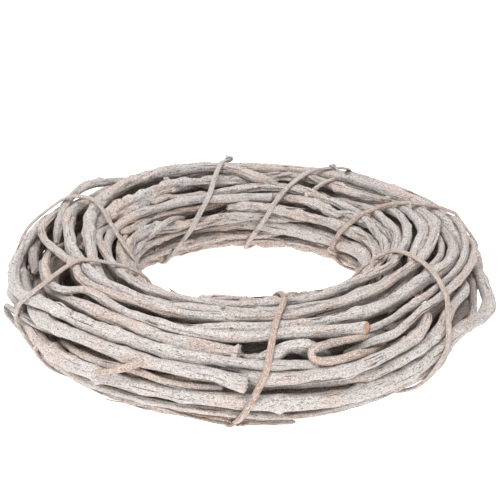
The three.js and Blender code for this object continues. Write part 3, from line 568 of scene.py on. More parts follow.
def straight_stick(length, radius, sides, steps):
    """A closed stick of even thickness, standing on the origin."""
    stick = bmesh.new()
    bmesh.ops.create_cone(stick, cap_ends=True, cap_tris=False, segments=sides, radius1=radius,
                          radius2=radius, depth=length, matrix=Matrix.Translation((0, 0, length / 2)))
    lengthwise = [edge for edge in stick.edges
                  if abs(edge.verts[0].co.z - edge.verts[1].co.z) > length / 2]
    bmesh.ops.subdivide_edges(stick, edges=lengthwise, cuts=steps - 1, use_grid_fill=True)
    return stick


def cap_face(stick, end, length):
    """The flat face that closes a stick at its start (0) or end (1)."""
    height = length * end
    caps = [face for face in stick.faces
            if all(abs(vertex.co.z - height) < END_TOLERANCE for vertex in face.verts)]
    if len(caps) != 1:
        raise RuntimeError("a stick has lost the cap of one end")
    return caps[0]


def shape_end(stick, end, kind, facing, slope, length, radius, draw):
    """Cuts, tears or rounds one end of a straight stick, and gives its face the bare wood. A cut is
    slanted by "slope", so that its face looks to the angle "facing" on the stick's section."""
    away = 1 if end else -1
    cap = cap_face(stick, end, length)
    for share in END_INSETS:
        bmesh.ops.inset_region(stick, faces=[cap], thickness=radius * share, use_even_offset=False)
    bmesh.ops.poke(stick, faces=[cap])
    level = {vertex for vertex in stick.verts if abs(vertex.co.z - length * end) < END_TOLERANCE}
    for face in stick.faces:
        if level.issuperset(face.verts):
            face.material_index = ENDS[kind]["material"]
    slant = draw.uniform(-TORN_SLANT, TORN_SLANT, 2)
    if kind == "cut":
        slant = -away * slope * np.array([math.cos(facing), math.sin(facing)])
    jag = ENDS[kind]["jag"] * radius
    dome = ENDS[kind]["dome"] * radius
    for vertex in stick.verts:
        if vertex in level:
            inward = max(0, 1 - math.hypot(vertex.co.x, vertex.co.y) / radius)
            ragged = draw.uniform(-1, 1) * (0.4 + 0.6 * inward)
            vertex.co.z += away * (dome * math.sqrt(inward) + jag * ragged)
    sheared = SHEARED_LENGTH * radius
    for vertex in stick.verts:
        near = 1 - min(1, max(0, away * (length * end - vertex.co.z)) / sheared)
        vertex.co.z += near * (slant[0] * vertex.co.x + slant[1] * vertex.co.y)


def add_stump(stick, length, radius, place, angle, height, thickness, draw):
    """Extrudes the broken stump of a side shoot from a stick."""
    stick.normal_update()
    spot = Vector((math.cos(angle), math.sin(angle), 0))
    reach = thickness / 2
    middle = Vector((0, 0, place)) + spot * radius
    chosen = [face for face in stick.faces
              if face.normal.dot(spot) > 0.4 and (face.calc_center_median() - middle).length < reach
              and abs(face.normal.z) < 0.5]
    if not chosen or not 0.01 < place / length < 0.99:
        raise RuntimeError(f"a stump at {place:.4f} of {length:.4f} m is off its stick")
    for rise, shrink in STUMP_STAGES:
        grown = bmesh.ops.extrude_face_region(stick, geom=chosen)["geom"]
        bmesh.ops.delete(stick, geom=chosen, context="FACES_ONLY")
        tips = [item for item in grown if isinstance(item, bmesh.types.BMVert)]
        chosen = [item for item in grown if isinstance(item, bmesh.types.BMFace)]
        lean = Vector((0, 0, draw.uniform(0.1, 0.5)))
        centre = sum((vertex.co for vertex in tips), Vector()) / len(tips)
        for vertex in tips:
            ragged = 1 + 0.3 * draw.uniform(-1, 1)
            vertex.co = centre + (vertex.co - centre) * shrink
            vertex.co += (spot + lean) * (height * rise * ragged)


def place_vertices(mesh, points, straight, tone):
    """Moves the vertices of a mesh, and keeps on each where it was on the straight piece, which the
    grain follows, and its tone."""
    grain = mesh.verts.layers.float_vector.new("grain")
    tones = mesh.verts.layers.float.new("tone")
    for vertex, co, place in zip(mesh.verts, inside_box(points), straight):
        vertex.co = co
        vertex[grain] = place
        vertex[tones] = tone


def bend_stick(stick, course, radius, reach, offset, tone):
    """Bends a straight stick along a course. "reach" gives its real radius at places and angles."""
    flat = np.array([vertex.co for vertex in stick.verts])
    place = np.clip(flat[:, 2], 0, course.length)
    beyond = flat[:, 2] - place
    out = np.hypot(flat[:, 0], flat[:, 1])
    angle = np.arctan2(flat[:, 1], flat[:, 0])
    real = reach(place, angle)
    length = np.where(out > radius, real + (out - radius), real * out / radius)
    bent = (course.read(course.points, place) + course.read(course.ahead, place) * beyond[:, None]
            + course.sideways(place, angle) * length[:, None])
    place_vertices(stick, bent, flat + offset, tone)


def finish_piece(mesh, name, replaced, materials):
    """Makes a shown piece of a bmesh: it rides on the wreath and stands for its CAD node."""
    bmesh.ops.recalc_face_normals(mesh, faces=mesh.faces)
    for face in mesh.faces:
        face.smooth = True
    data = bpy.data.meshes.new(name)
    mesh.to_mesh(data)
    mesh.free()
    piece = bpy.data.objects.new(name, data)
    bpy.context.scene.collection.objects.link(piece)
    for material in materials:
        data.materials.append(material)
    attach(piece, "root")
    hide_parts(replaced)
    return piece


# Shoots

def bundle_depth(points):
    """How deep points lie in the bundle: 0 on its surface and 1 in its middle."""
    arms = points - RING_CENTRE
    outward = np.hypot(arms[:, 0], arms[:, 1]) - RING_RADIUS
    return 1 - np.hypot(outward / BUNDLE_HALF_WIDTH, arms[:, 2] / BUNDLE_HALF_HEIGHT)


def place_round_ring(course, degrees):
    """Distance along a course to its point at that many degrees round the ring."""
    arms = course.points - RING_CENTRE
    alike = unit(arms[:, :2]) @ np.array(cos_sin(degrees))
    return float(course.at[int(np.argmax(alike))])


def section_angle(course, place, degrees):
    """The angle on a stick's own section that faces "degrees" (0 outwards, 90 up) on the wreath."""
    where = np.array([place])
    outward = unit((course.read(course.points, where) - RING_CENTRE) * [1, 1, 0])[0]
    outwards, upwards = cos_sin(degrees)
    facing = outward * outwards + np.array([0, 0, upwards])
    across, up = course.read(course.across, where)[0], course.read(course.up, where)[0]
    return math.atan2(facing @ up, facing @ across)


def leaf_nodes(draw, length, spacing):
    """Distances to the leaf nodes of a shoot and the side that each bud was on."""
    places, sides = [], []
    place = draw.uniform(0.3, 0.9) * spacing
    side = draw.uniform(0, FULL_TURN)
    while place < length - 0.2 * spacing:
        places.append(place)
        sides.append(side)
        place += spacing * draw.uniform(0.65, 1.35)
        side += math.pi + draw.uniform(-0.5, 0.5)
    return places, sides


def bark_reach(course, radii, bark, settings, draw, nodes):
    """The function that gives a shoot's radius at places along it and angles round it."""
    depth = BARKS[bark]
    thickness = through(radii, course.station)
    seeds = iter(draw.integers(1 << 30, size=WAVE_SEEDS))
    waves = {kind: [drift(np.random.default_rng(next(seeds)), course.at, length * MM) for _ in range(count)]
             for kind, (length, count) in WAVES.items()}

    def reach(place, angle):
        def spread(values):
            return np.interp(place, course.at, values)

        swelling = 0.05 * waves["thickness"][0] + depth["lumps"] * waves["lumps"][0]
        radius = spread(thickness * (1 + swelling))
        even_twist = np.cumsum(np.full(len(course.at), course.at[1] * TWIST_RATE))
        turned = angle + spread(1.6 * waves["twist"][0] + even_twist)
        oval, corners = spread(0.6 + 0.4 * waves["oval"][0]), spread(waves["corners"][0])
        shape = depth["oval"] * (oval * np.cos(2 * turned) + 0.5 * corners * np.cos(3 * turned + 1))
        ridges = np.zeros_like(place)
        for number, count in enumerate(RIDGE_COUNTS):
            strength = spread(0.5 + 0.5 * waves["ridges"][number])
            shift = spread(1.5 * waves["ridge_shifts"][number])
            ridges += strength * np.cos(count * turned + shift * 2 + number) / (1 + 0.25 * number)
        cracks = np.zeros_like(place)
        for number, count in enumerate(CRACK_COUNTS):
            strength = spread(smooth_step(0.05, 0.5, waves["cracks"][number]))
            shift = spread(waves["crack_shifts"][number])
            crest = np.cos(count * turned + 1.2 * shift + 2 * number)
            cracks += strength * smooth_step(0.88, 1.0, crest)
        burrs = np.zeros_like(place)
        for number, count in enumerate(BURR_COUNTS):
            strength = spread(waves["burrs"][number])
            burrs += depth["burrs"] * strength * np.cos(count * turned + 2.4 * number)
        knobs = np.zeros_like(place)
        for where, side in zip(*nodes):
            near = np.exp(-((place - where) / NODE_LENGTH) ** 2)
            bud = np.exp(-((place - where - BUD_AHEAD) / BUD_LENGTH) ** 2
                         - ((np.angle(np.exp(1j * (angle - side)))) / BUD_ANGLE) ** 2)
            knobs += depth["nodes"] * (0.6 * near + 1.2 * bud)
        relief = settings.relief * MM * (depth["ridges"] * ridges * 0.5 - depth["cracks"] * cracks)
        return radius * (0.97 + settings.relief * (shape + knobs + burrs)) + relief

    return reach


def fineness(name, slim, settings):
    """Faces round a shoot and their length along it. Hidden and slim shoots have fewer."""
    if name in CORE_SHOOTS:
        return settings.hidden_sides, settings.hidden_step
    if name in UNDERSIDE_SHOOTS:
        sides, step = (settings.sides + settings.hidden_sides) // 2, 1.4 * settings.step
    else:
        sides, step = settings.sides, settings.step
    return (settings.sides * 3 // 4 if slim else sides), step


def with_burrs(name, radii, course):
    """A shoot's radii with its big burrs, if it has any."""
    last = len(radii) - 1
    for piece, degrees, factor in SWELLINGS:
        if piece == name:
            place = place_round_ring(course, degrees) / course.length * last
            spread = SWELLING_LENGTH / course.length * last
            radii = radii * (1 + (factor - 1) * np.exp(-((np.arange(len(radii)) - place) / spread) ** 2))
    return radii


def make_shoot(name, settings, materials):
    """Builds one shoot from its solid: bends a straight stick along it and adds bark and ends."""
    draw = generator(name)
    slot, tone, bark = SHOOTS.get(name, CORE_LOOK)
    ends = SHOOT_ENDS.get(name, TORN_ENDS)
    shreds = SHREDS[bark]
    centres, radii = cad_tube(name)
    if name in CORE_SHOOTS or name in UNDERSIDE_SHOOTS:
        radii = radii * settings.hidden_swelling
        shreds = CORE_SHREDS if name in CORE_SHOOTS else UNDERSIDE_SHREDS
    mean = float(np.mean(radii))
    slim = mean < SLIM_RADIUS
    sides, step = fineness(name, slim, settings)
    course = Course(centres, step)
    radii = with_burrs(name, radii, course)
    nodes = leaf_nodes(draw, course.length, settings.node_spacing * (0.7 + mean / (15 * MM)))
    sway_course(course, nodes, 1.08 * through(radii, course.station),
                settings.sway * (0.6 if slim else 1.0), draw)
    stick = straight_stick(course.length, mean, sides, course.count)
    for end, kind in enumerate(ends):
        looks_to, slope = CUTS.get(name, SQUARE_CUT)
        facing = section_angle(course, course.length * end, looks_to)
        shape_end(stick, end, kind, facing, slope, course.length, mean, draw)
    for piece, degrees, facing, height, thickness in STUMPS:
        if piece == name:
            place = place_round_ring(course, degrees)
            add_stump(stick, course.length, mean, place, section_angle(course, place, facing),
                      height * MM, thickness * MM, draw)
    reach = bark_reach(course, radii, bark, settings, draw, nodes)
    bend_stick(stick, course, mean, reach, draw.uniform(-1, 1, 3), tone)
    if ends[1] in SPLINTERS:
        add_splinters(stick, course, mean, SPLINTERS[ends[1]], draw)
    add_shreds(stick, course, mean, shreds, tone, draw)
    for piece, points, half_width, half_thickness, taper, own_tone in SIDE_TWIGS:
        if piece == name:
            section = (half_width * MM, half_thickness * MM, taper)
            add_strand(stick, np.array(points) * MM, TWIG_UP, section, own_tone, draw)
    piece = finish_piece(stick, name + "_bark", name,
                         [materials[slot], materials["torn_wood"], materials["cut_wood"]])
    keep_depth(piece.data)
    return piece


def keep_depth(mesh):
    """Keeps on each vertex of a mesh how deep it lies in the bundle, which darkens its bark as painted
    shade.
    """
    points = np.zeros(len(mesh.vertices) * 3)
    mesh.vertices.foreach_get("co", points)
    depth = np.clip(bundle_depth(points.reshape(-1, 3)), 0, 1)
    mesh.attributes.new("depth", "FLOAT", "POINT").data.foreach_set("value", depth.astype(np.float32))


def inside_box(points, margin=0.0):
    """Points brought back, where they need it, to this far inside the part's box."""
    lowest, highest = np.array(CAD_BOX)
    margin = np.reshape(margin, (-1, 1))
    return np.clip(points, lowest + margin, highest - margin)


def sway_course(course, nodes, thickness, amount, draw):
    """Lets a course wander a little, and kinks it at its leaf nodes."""
    wander = (course.across * (drift(draw, course.at, SWAY_LENGTHS[0]) * amount)[:, None]
              + course.up * (drift(draw, course.at, SWAY_LENGTHS[1]) * amount)[:, None])
    corners = [0.0, *nodes[0], course.length]
    heights = [(-1) ** number * (0.4 + 0.6 * draw.random()) for number in range(len(corners))]
    kink = np.interp(course.at, corners, heights) * amount * KINK
    heading = draw.uniform(0, FULL_TURN)
    wander += (course.across * math.cos(heading) + course.up * math.sin(heading)) * kink[:, None]
    ease = smooth_step(0, EASE_LENGTH, course.at) * smooth_step(0, EASE_LENGTH, course.length - course.at)
    course.points = course.points + wander * ease[:, None]
    course.points = inside_box(course.points, thickness)
    course.turn(course.up[0])


def add_splinters(stick, course, radius, amount, draw):
    """Adds splinters round the last end of a shoot, each a tapered sliver. "amount" is as in SPLINTERS."""
    tip = Vector(course.points[-1])
    ahead = Vector(course.ahead[-1])
    across, up = Vector(course.across[-1]), Vector(course.up[-1])
    grain = stick.verts.layers.float_vector["grain"]
    count, longest = amount
    for number in range(count):
        angle = FULL_TURN * number / count + draw.uniform(-0.2, 0.2)
        side = across * math.cos(angle) + up * math.sin(angle)
        length = draw.uniform(0.5, 1) * longest * MM
        heading = (ahead * draw.uniform(0.4, 1.2) + side * draw.uniform(0.3, 1.3)).normalized()
        root = tip + side * radius * draw.uniform(0.3, 0.9) - ahead * 2 * MM
        turn = heading.to_track_quat("Z", "Y").to_matrix().to_4x4()
        made = bmesh.ops.create_cone(
            stick, cap_ends=True, cap_tris=False, segments=7, radius1=draw.uniform(1.3, 2.2) * MM,
            radius2=draw.uniform(0.6, 1.3) * MM, depth=length,
            matrix=Matrix.Translation(root + heading * length / 2) @ turn)["verts"]
        for vertex in made:
            vertex.co = inside_box(np.array(vertex.co) + draw.uniform(-0.25, 0.25, 3) * MM)[0]
            vertex[grain] = vertex.co
            for face in vertex.link_faces:
                face.material_index = 1


def add_shreds(stick, course, radius, amount, tone, draw):
    """Adds shreds of bark and fibre that have come off a shoot at one end. "amount" is as in SHREDS."""
    count, longest, stand_off, widest = amount
    for _ in range(round(count * course.length)):
        length = draw.uniform(0.4, 1) * longest * MM
        lift = draw.uniform(0.2, 1) * stand_off * MM
        start = draw.uniform(0.02, 0.95) * course.length
        stop = start + length * draw.choice([-1, 1])
        angle = draw.uniform(0, FULL_TURN)
        twist = draw.uniform(-1.2, 1.2)
        half_width = draw.uniform(0.3, 0.5) * widest * MM
        own_tone = tone + draw.uniform(-0.6, 0.6)
        if not 0 < stop < course.length:
            continue
        part = np.linspace(0, 1, 5)
        place = start + (stop - start) * part
        turned = angle + twist * part
        side = course.sideways(place, turned)
        away = radius * 0.95 + lift * part ** 1.3
        points = inside_box(course.read(course.points, place) + side * away[:, None], 1.2 * MM)
        flatwise = np.cross(side[2], points[3] - points[1])
        add_strand(stick, points, tuple(np.cross(points[3] - points[1], flatwise)),
                   (half_width, SHRED_HALF_THICKNESS, SHRED_TAPER), own_tone, draw, SHRED_SIDES,
                   SHRED_STEP)


# Strips

def from_bundle_middle(arms):
    """Vectors to points from the nearest point of the circle through the middle of the bundle. The
    points are given from the ring's centre."""
    return arms - unit(arms * [1, 1, 0]) * RING_RADIUS


def cad_strip(node):
    """Corners of a strip's solid in order round the bundle: middle, direction across it and width."""
    mesh = solid(node)
    found = []
    for edge in mesh.edges:
        a, b = (np.array(vertex.co) - RING_CENTRE for vertex in edge.verts)
        level = abs(a[2] - b[2]) < LEVEL and abs(math.hypot(*a[:2]) - math.hypot(*b[:2])) < LEVEL
        if level and edge.calc_length() > LEAST_STRIP_WIDTH:
            found.append(((a + b) / 2, a - b))
    mesh.free()
    corners = []
    for middle, along in found:
        outward = from_bundle_middle(middle)
        angle = math.atan2(outward[2], outward @ unit(middle * [1, 1, 0]))
        gaps = [middle - other for other, _ in found]
        if any(0 < np.linalg.norm(gap) < 1.5 * STRIP_THICKNESS and unit(gap) @ unit(outward) > 0.8
               for gap in gaps):
            continue
        side = unit(along) * (1 if np.cross(middle, along)[2] > 0 else -1)
        corners.append((angle, middle + RING_CENTRE, side, float(np.linalg.norm(along))))
    return [corner[1:] for corner in sorted(corners, key=lambda corner: corner[0])]


def strip_course(node):
    """A taut, rounded line along the middle of a strip, the direction from edge to edge of the strip at
    each point of it, and the strip's width in that direction."""
    corners = cad_strip(node)
    count = len(corners)
    if count != STRIP_CORNERS:
        raise RuntimeError(f"{node}: found {count} corners of the strip")
    inner = np.array([middle for middle, _, _ in corners])
    sides = np.array([side for _, side, _ in corners])
    widths = np.array([width for _, _, width in corners])
    ahead = unit(np.roll(inner, -1, axis=0) - np.roll(inner, 1, axis=0))
    out = unit(np.cross(ahead, sides))
    out *= np.sign((out * from_bundle_middle(inner - RING_CENTRE)).sum(axis=1))[:, None]
    middle = inner + out * STRIP_THICKNESS / 2
    points, across, width = [], [], []
    for index in range(count):
        before, after = (index - 1) % count, (index + 1) % count
        for part in np.linspace(0, 1, 9)[:-1]:
            blend = np.array([(1 - part) ** 2, 2 * part * (1 - part), part ** 2])
            for rounded, corner in ((points, middle), (across, sides), (width, widths)):
                rounded.append(blend @ np.array([(corner[before] + corner[index]) / 2, corner[index],
                                                 (corner[index] + corner[after]) / 2]))
    return np.array(points), unit(np.array(across)), np.array(width)


def round_loop(sides, steps):
    """A closed ring of radius 1 with a round section, and that many faces round its section and along."""
    loop = bmesh.new()
    bmesh.ops.create_circle(loop, segments=sides, radius=0.2, matrix=Matrix.Translation((1, 0, 0))
                            @ Matrix.Rotation(math.pi / 2, 4, "X"))
    bmesh.ops.spin(loop, geom=loop.verts[:] + loop.edges[:], cent=(0, 0, 0), axis=(0, 0, 1),
                   dvec=(0, 0, 0), angle=FULL_TURN, steps=steps, use_merge=True)
    return loop


def make_strip(name, materials):
    """Builds one binding strip: a closed loop of split vine with its knots and loose ends."""
    draw = generator(name)
    points, edgewise, width = strip_course(name)
    count = len(points)
    loop = round_loop(STRIP_SIDES, count)
    ahead = unit(np.roll(points, -1, axis=0) - np.roll(points, 1, axis=0))
    out = unit(np.cross(edgewise, ahead))
    arms = points - RING_CENTRE
    outward = from_bundle_middle(arms)
    out *= np.sign((out * outward).sum(axis=1))[:, None]
    across = np.cross(ahead, out)
    width = width * np.abs((across * edgewise).sum(axis=1))
    run = np.concatenate([[0], np.cumsum(np.linalg.norm(np.diff(points, axis=0), axis=1))])
    flat = np.array([vertex.co for vertex in loop.verts])
    turn = np.mod(np.arctan2(flat[:, 1], flat[:, 0]), FULL_TURN) / FULL_TURN * count
    index = np.mod(np.round(turn).astype(int), count)
    angle = np.arctan2(flat[:, 2], np.hypot(flat[:, 0], flat[:, 1]) - 1)
    waver = 1 + STRIP_WAVER * np.sin(run / (9 * MM) + draw.uniform(0, 6)) * drift(draw, run, 30 * MM)
    fibres = 0.5 + 0.5 * drift(draw, run, 18 * MM)
    half = width[index] / 2 * waver[index] * STRIP_SWELLING
    wide = np.sign(np.cos(angle)) * np.abs(np.cos(angle)) ** STRIP_SQUARENESS[0] * half
    high = np.sign(np.sin(angle)) * np.abs(np.sin(angle)) ** STRIP_SQUARENESS[1] * STRIP_THICKNESS / 2
    ripple = np.cos(STRIP_RIPPLES * angle + 3 * fibres[index]) * STRIP_RIPPLE * np.sin(angle)
    high = np.where(angle > 0, high * STRIP_BULGE + ripple, high)
    bent = points[index] + across[index] * wide[:, None] + out[index] * high[:, None]
    straight = np.stack([wide, high, run[index]], axis=1) + draw.uniform(-1, 1, 3)
    tone = STRIPS[name]["tone"]
    place_vertices(loop, bent, straight, tone)
    heights = np.arctan2(outward[:, 2] / BUNDLE_HALF_HEIGHT,
                         (outward * unit(arms * [1, 1, 0])).sum(axis=1) / BUNDLE_HALF_WIDTH)
    for degrees in STRIPS[name]["knots"]:
        at = int(np.argmax(np.cos(heights - math.radians(degrees))))
        add_knot(loop, points[at], ahead[at], across[at], out[at], tone, draw)
    for degrees, length, lean in STRIPS[name]["ends"]:
        at = int(np.argmax(np.cos(heights - math.radians(degrees))))
        add_loose_end(loop, points[at], across[at], out[at], length * MM, lean, tone, draw)
    return finish_piece(loop, name + "_vine", name, [materials["split_strip"]])


def add_strand(mesh, points, up, shape, tone, draw, sides=STRAND_SIDES, step=STRAND_STEP):
    """Adds a flattened strand along a few points to a mesh. "shape" gives half its width, half its
    thickness and the share by which it thins towards its end."""
    half_width, half_thickness, taper = shape
    course = Course(points, step, up)
    strand = straight_stick(course.length, half_width, sides, course.count)
    flat = np.array([vertex.co for vertex in strand.verts])
    place = np.clip(flat[:, 2], 0, course.length)
    from_end = np.minimum(place, course.length - place)
    thin = (1 - taper * place / course.length) * np.sqrt(np.clip(from_end / half_width, 0.15, 1))
    rough = 1 + 0.12 * drift(draw, place, 2.5 * MM)
    bent = (course.read(course.points, place)
            + course.read(course.across, place) * (flat[:, 0] * thin * rough)[:, None]
            + course.read(course.up, place) * (flat[:, 1] * thin * half_thickness / half_width)[:, None])
    for vertex, co in zip(strand.verts, inside_box(bent)):
        vertex.co = co
    offset = draw.uniform(-1, 1, 3)
    made = bpy.data.meshes.new("strand")
    strand.to_mesh(made)
    strand.free()
    before = len(mesh.verts)
    mesh.from_mesh(made)
    bpy.data.meshes.remove(made)
    mesh.verts.ensure_lookup_table()
    grain, tones = mesh.verts.layers.float_vector["grain"], mesh.verts.layers.float["tone"]
    for vertex, straight in zip(mesh.verts[before:], flat + offset):
        vertex[grain] = straight
        vertex[tones] = tone


def add_knot(mesh, middle, ahead, across, out, tone, draw):
    """Adds a knot: a strand wound nearly twice round the strip."""
    turns = np.linspace(*KNOT_TURNS, 15)
    start = draw.uniform(-0.2, 0.2)
    points = []
    for turn in turns:
        angle = turn * FULL_TURN + start
        points.append(middle + across * (KNOT_ASIDE * MM * math.cos(angle))
                      + out * ((KNOT_MIDDLE + KNOT_RISE * math.sin(angle)) * MM)
                      + ahead * ((turn - sum(KNOT_TURNS) / 2) * KNOT_PITCH * MM))
    add_strand(mesh, inside_box(points, 1 * MM), tuple(ahead), KNOT_SECTION, tone, draw)


def add_loose_end(mesh, middle, across, out, length, lean, tone, draw):
    """Adds the loose end of a strip, a tapered strand that leaves its outer face."""
    outwards, aside = cos_sin(lean)
    heading = out * outwards + across * aside
    droop = out * length * LOOSE_END_DROOP * abs(aside)
    points = [middle + out * 1.2 * MM + heading * length * part - droop * part * part
              for part in (0, 0.25, 0.5, 0.75, 0.95)]
    up = tuple(out + across * 0.3)
    add_strand(mesh, inside_box(points, 1 * MM), up, LOOSE_END_SECTION, tone, draw)


# Materials

# Noises of the bark: scale per metre, how far they are drawn out along the shoot (less than 1 is longer),
# detail and roughness
BARK_NOISES = {
    "streaks": (900.0, 0.1, 4.0, 0.6),
    "furrows": (330.0, 0.09, 3.0, 0.55),
    "mottle": (520.0, 0.5, 3.0, 0.65),
    "cracks": (560.0, 0.055, 3.0, 0.5),
    "patches": (95.0, 0.35, 3.0, 0.6),
    "stain": (60.0, 0.3, 3.0, 0.6),
    "clouds": (28.0, 1.0, 2.0, 0.5),
    "speckle": (1550.0, 1.0, 2.0, 0.8),
    "fleck": (1200.0, 0.4, 2.0, 0.8),
}

# Pits in the bark: scale per metre, and how far they are drawn out
PIT_SCALE, PIT_LENGTH = 260.0, 0.4

# What covers the wash, in order: the noise, the values at which it begins to cover and is at its full, how
# much it then covers, and its colour
BARK_COVERS = [
    ("streaks", 0.5, 0.72, 0.45, "bark"),
    ("furrows", 0.5, 0.68, 0.3, "bark"),
    ("mottle", 0.48, 0.7, 0.25, "bark"),
    ("speckle", 0.5, 0.58, 0.9, "dust"),
    ("fleck", 0.47, 0.38, 0.8, "bark"),
    ("cracks", 0.64, 0.7, 0.8, "crack"),
    ("pits", 0.16, 0.06, 0.6, "crack"),
]

# How much the finishes mirror light
SHINE = 0.2

# Height of the bump in metres where its noise goes from 0 to 1, on bark (fine and coarse), end wood and
# strips
FINE_BARK_BUMP, COARSE_BARK_BUMP = 0.8 * MM, 1.6 * MM
END_WOOD_BUMP = 0.5 * MM
STRIP_BUMP = 1 * MM


class Nodes:
    """Short ways to add and join the nodes of one material."""

    def __init__(self, name):
        self.material = bpy.data.materials.new(name)
        self.material.use_nodes = True
        self.tree = self.material.node_tree
        self.shader = self.tree.nodes["Principled BSDF"]

    def put(self, value, socket):
        """Joins a node's output to a socket, or sets the socket to a number, vector or colour."""
        if isinstance(value, bpy.types.NodeSocket):
            self.tree.links.new(value, socket)
        elif socket.type == "RGBA":
            socket.default_value = (*value, 1.0)[:4]
        else:
            socket.default_value = value

    def add(self, kind, inputs, **settings):
        """Adds a node with its settings and inputs."""
        node = self.tree.nodes.new(kind)
        for key, value in settings.items():
            setattr(node, key, value)
        for key, value in inputs.items():
            self.put(value, node.inputs[key])
        return node

    def attribute(self, name, output="Fac"):
        """What the mesh keeps on its vertices under that name."""
        return self.add("ShaderNodeAttribute", {}, attribute_name=name).outputs[output]

    def stretched(self, vector, length):
        """A vector whose patterns are drawn out along the piece where "length" is less than 1."""
        inputs = {"Vector": vector, "Scale": (1.0, 1.0, length)}
        return self.add("ShaderNodeMapping", inputs).outputs["Vector"]

    def noise(self, grain, scale, length, detail, roughness):
        """A noise of that scale per metre, drawn out along the piece where "length" is less than 1."""
        inputs = {"Vector": self.stretched(grain, length), "Scale": scale, "Detail": detail,
                  "Roughness": roughness}
        return self.add("ShaderNodeTexNoise", inputs).outputs["Fac"]

    def ramp(self, value, low, high):
        """0 where the value is at "low", 1 where it is at "high", and a smooth rise between."""
        node = self.add("ShaderNodeMapRange", {"Value": value, "From Min": low, "From Max": high},
                        interpolation_type="SMOOTHSTEP")
        return node.outputs["Result"]

    def math(self, operation, a, b):
        """A sum, difference or product."""
        return self.add("ShaderNodeMath", {0: a, 1: b}, operation=operation).outputs[0]

    def total(self, *terms):
        """The sum of values, each times its factor."""
        parts = [self.math("MULTIPLY", value, factor) for value, factor in terms]
        result = parts[0]
        for part in parts[1:]:
            result = self.math("ADD", result, part)
        return result

    def mix(self, share, a, b, blend="MIX"):
        """Colour a covered by colour b to the given share."""
        node = self.add("ShaderNodeMix", {0: share, 6: a, 7: b}, data_type="RGBA", blend_type=blend)
        return node.outputs[2]

    def cover(self, colour, value, share, tint):
        """A colour covered by a tint where the value is 1, to the given share."""
        return self.mix(self.math("MULTIPLY", value, share), colour, tint)

    def bump(self, height, distance, strength=1.0, under=None):
        """A bumpy surface, on top of the one "under" it if there is one."""
        inputs = {"Height": height, "Distance": distance, "Strength": strength}
        if under is not None:
            inputs["Normal"] = under
        return self.add("ShaderNodeBump", inputs).outputs["Normal"]

    def finish(self, colour, roughness, normal):
        """Joins the shader's inputs and returns the material."""
        self.put(colour, self.shader.inputs["Base Color"])
        self.put(roughness, self.shader.inputs["Roughness"])
        self.put(normal, self.shader.inputs["Normal"])
        self.put(SHINE, self.shader.inputs["Specular IOR Level"])
        return self.material


def bark_material(name, wash, warm, colours, thin):
    """Dry bark under whitewash, darkened by painted shade deep in the bundle. "wash" and "warm" are its two
    tints and "thin" how much wash is lost.
    """
    nodes = Nodes(name)
    grain = nodes.attribute("grain", "Vector")
    tone = nodes.attribute("tone")
    depth = nodes.attribute("depth")
    noises = {kind: nodes.noise(grain, *values) for kind, values in BARK_NOISES.items()}
    pits = {"Vector": nodes.stretched(grain, PIT_LENGTH), "Scale": PIT_SCALE, "Randomness": 1.0}
    noises["pits"] = nodes.add("ShaderNodeTexVoronoi", pits).outputs["Distance"]

    uneven = nodes.math("SUBTRACT", noises["clouds"], 0.5)
    colour = nodes.mix(nodes.ramp(nodes.total((tone, 0.9), (uneven, 3.7)), 0.0, 1.0), wash, warm)
    # Patches of wash worn to bark; the depth term spreads them deeper into the bundle as painted shade
    wear_and_painted_shade = nodes.ramp(nodes.total((noises["patches"], 1.0), (depth, 0.35)), 0.60 - thin, 0.78 - thin)
    colour = nodes.cover(colour, wear_and_painted_shade, 0.45, colours.bark)
    rust = nodes.ramp(nodes.total((noises["stain"], 1.0), (tone, 0.14)), 0.68, 0.8)
    colour = nodes.cover(colour, rust, nodes.math("MULTIPLY", tone, 0.75), colours.rust)
    covers = {}
    for kind, begins, full, share, tint in BARK_COVERS:
        covers[kind] = nodes.ramp(noises[kind], begins, full)
        colour = nodes.cover(colour, covers[kind], share, getattr(colours, tint))
    # Painted shade: the bark colour is multiplied in, more the deeper a vertex lies in the bundle
    shaded = nodes.math("MULTIPLY", nodes.ramp(depth, 0.06, 0.42), 0.4)
    colour = nodes.mix(shaded, colour, colours.bark, "MULTIPLY")

    fine = nodes.total((noises["streaks"], -0.6), (noises["speckle"], 0.5), (noises["fleck"], 0.6),
                       (covers["cracks"], -0.9), (covers["pits"], -0.6))
    coarse = nodes.total((noises["mottle"], 0.5), (noises["furrows"], -1.0))
    normal = nodes.bump(fine, FINE_BARK_BUMP, under=nodes.bump(coarse, COARSE_BARK_BUMP))
    return nodes.finish(colour, nodes.ramp(noises["streaks"], -1.6, 1.2), normal)


def end_wood_material(name, colours, first, second):
    """The wood of an end, with fibres, in two tints, and chalk on its high spots."""
    nodes = Nodes(name)
    grain = nodes.attribute("grain", "Vector")
    fibres = nodes.noise(grain, 1400.0, 0.15, 3.0, 0.6)
    patches = nodes.noise(grain, 420.0, 1.0, 3.0, 0.6)
    colour = nodes.mix(nodes.ramp(patches, 0.4, 0.6), first, second)
    colour = nodes.cover(colour, nodes.ramp(fibres, 0.52, 0.66), 0.6, colours.dust)
    colour = nodes.cover(colour, nodes.ramp(fibres, 0.48, 0.36), 0.6, colours.bark)
    return nodes.finish(colour, nodes.ramp(fibres, -1.8, 1.2), nodes.bump(fibres, END_WOOD_BUMP, 0.8))


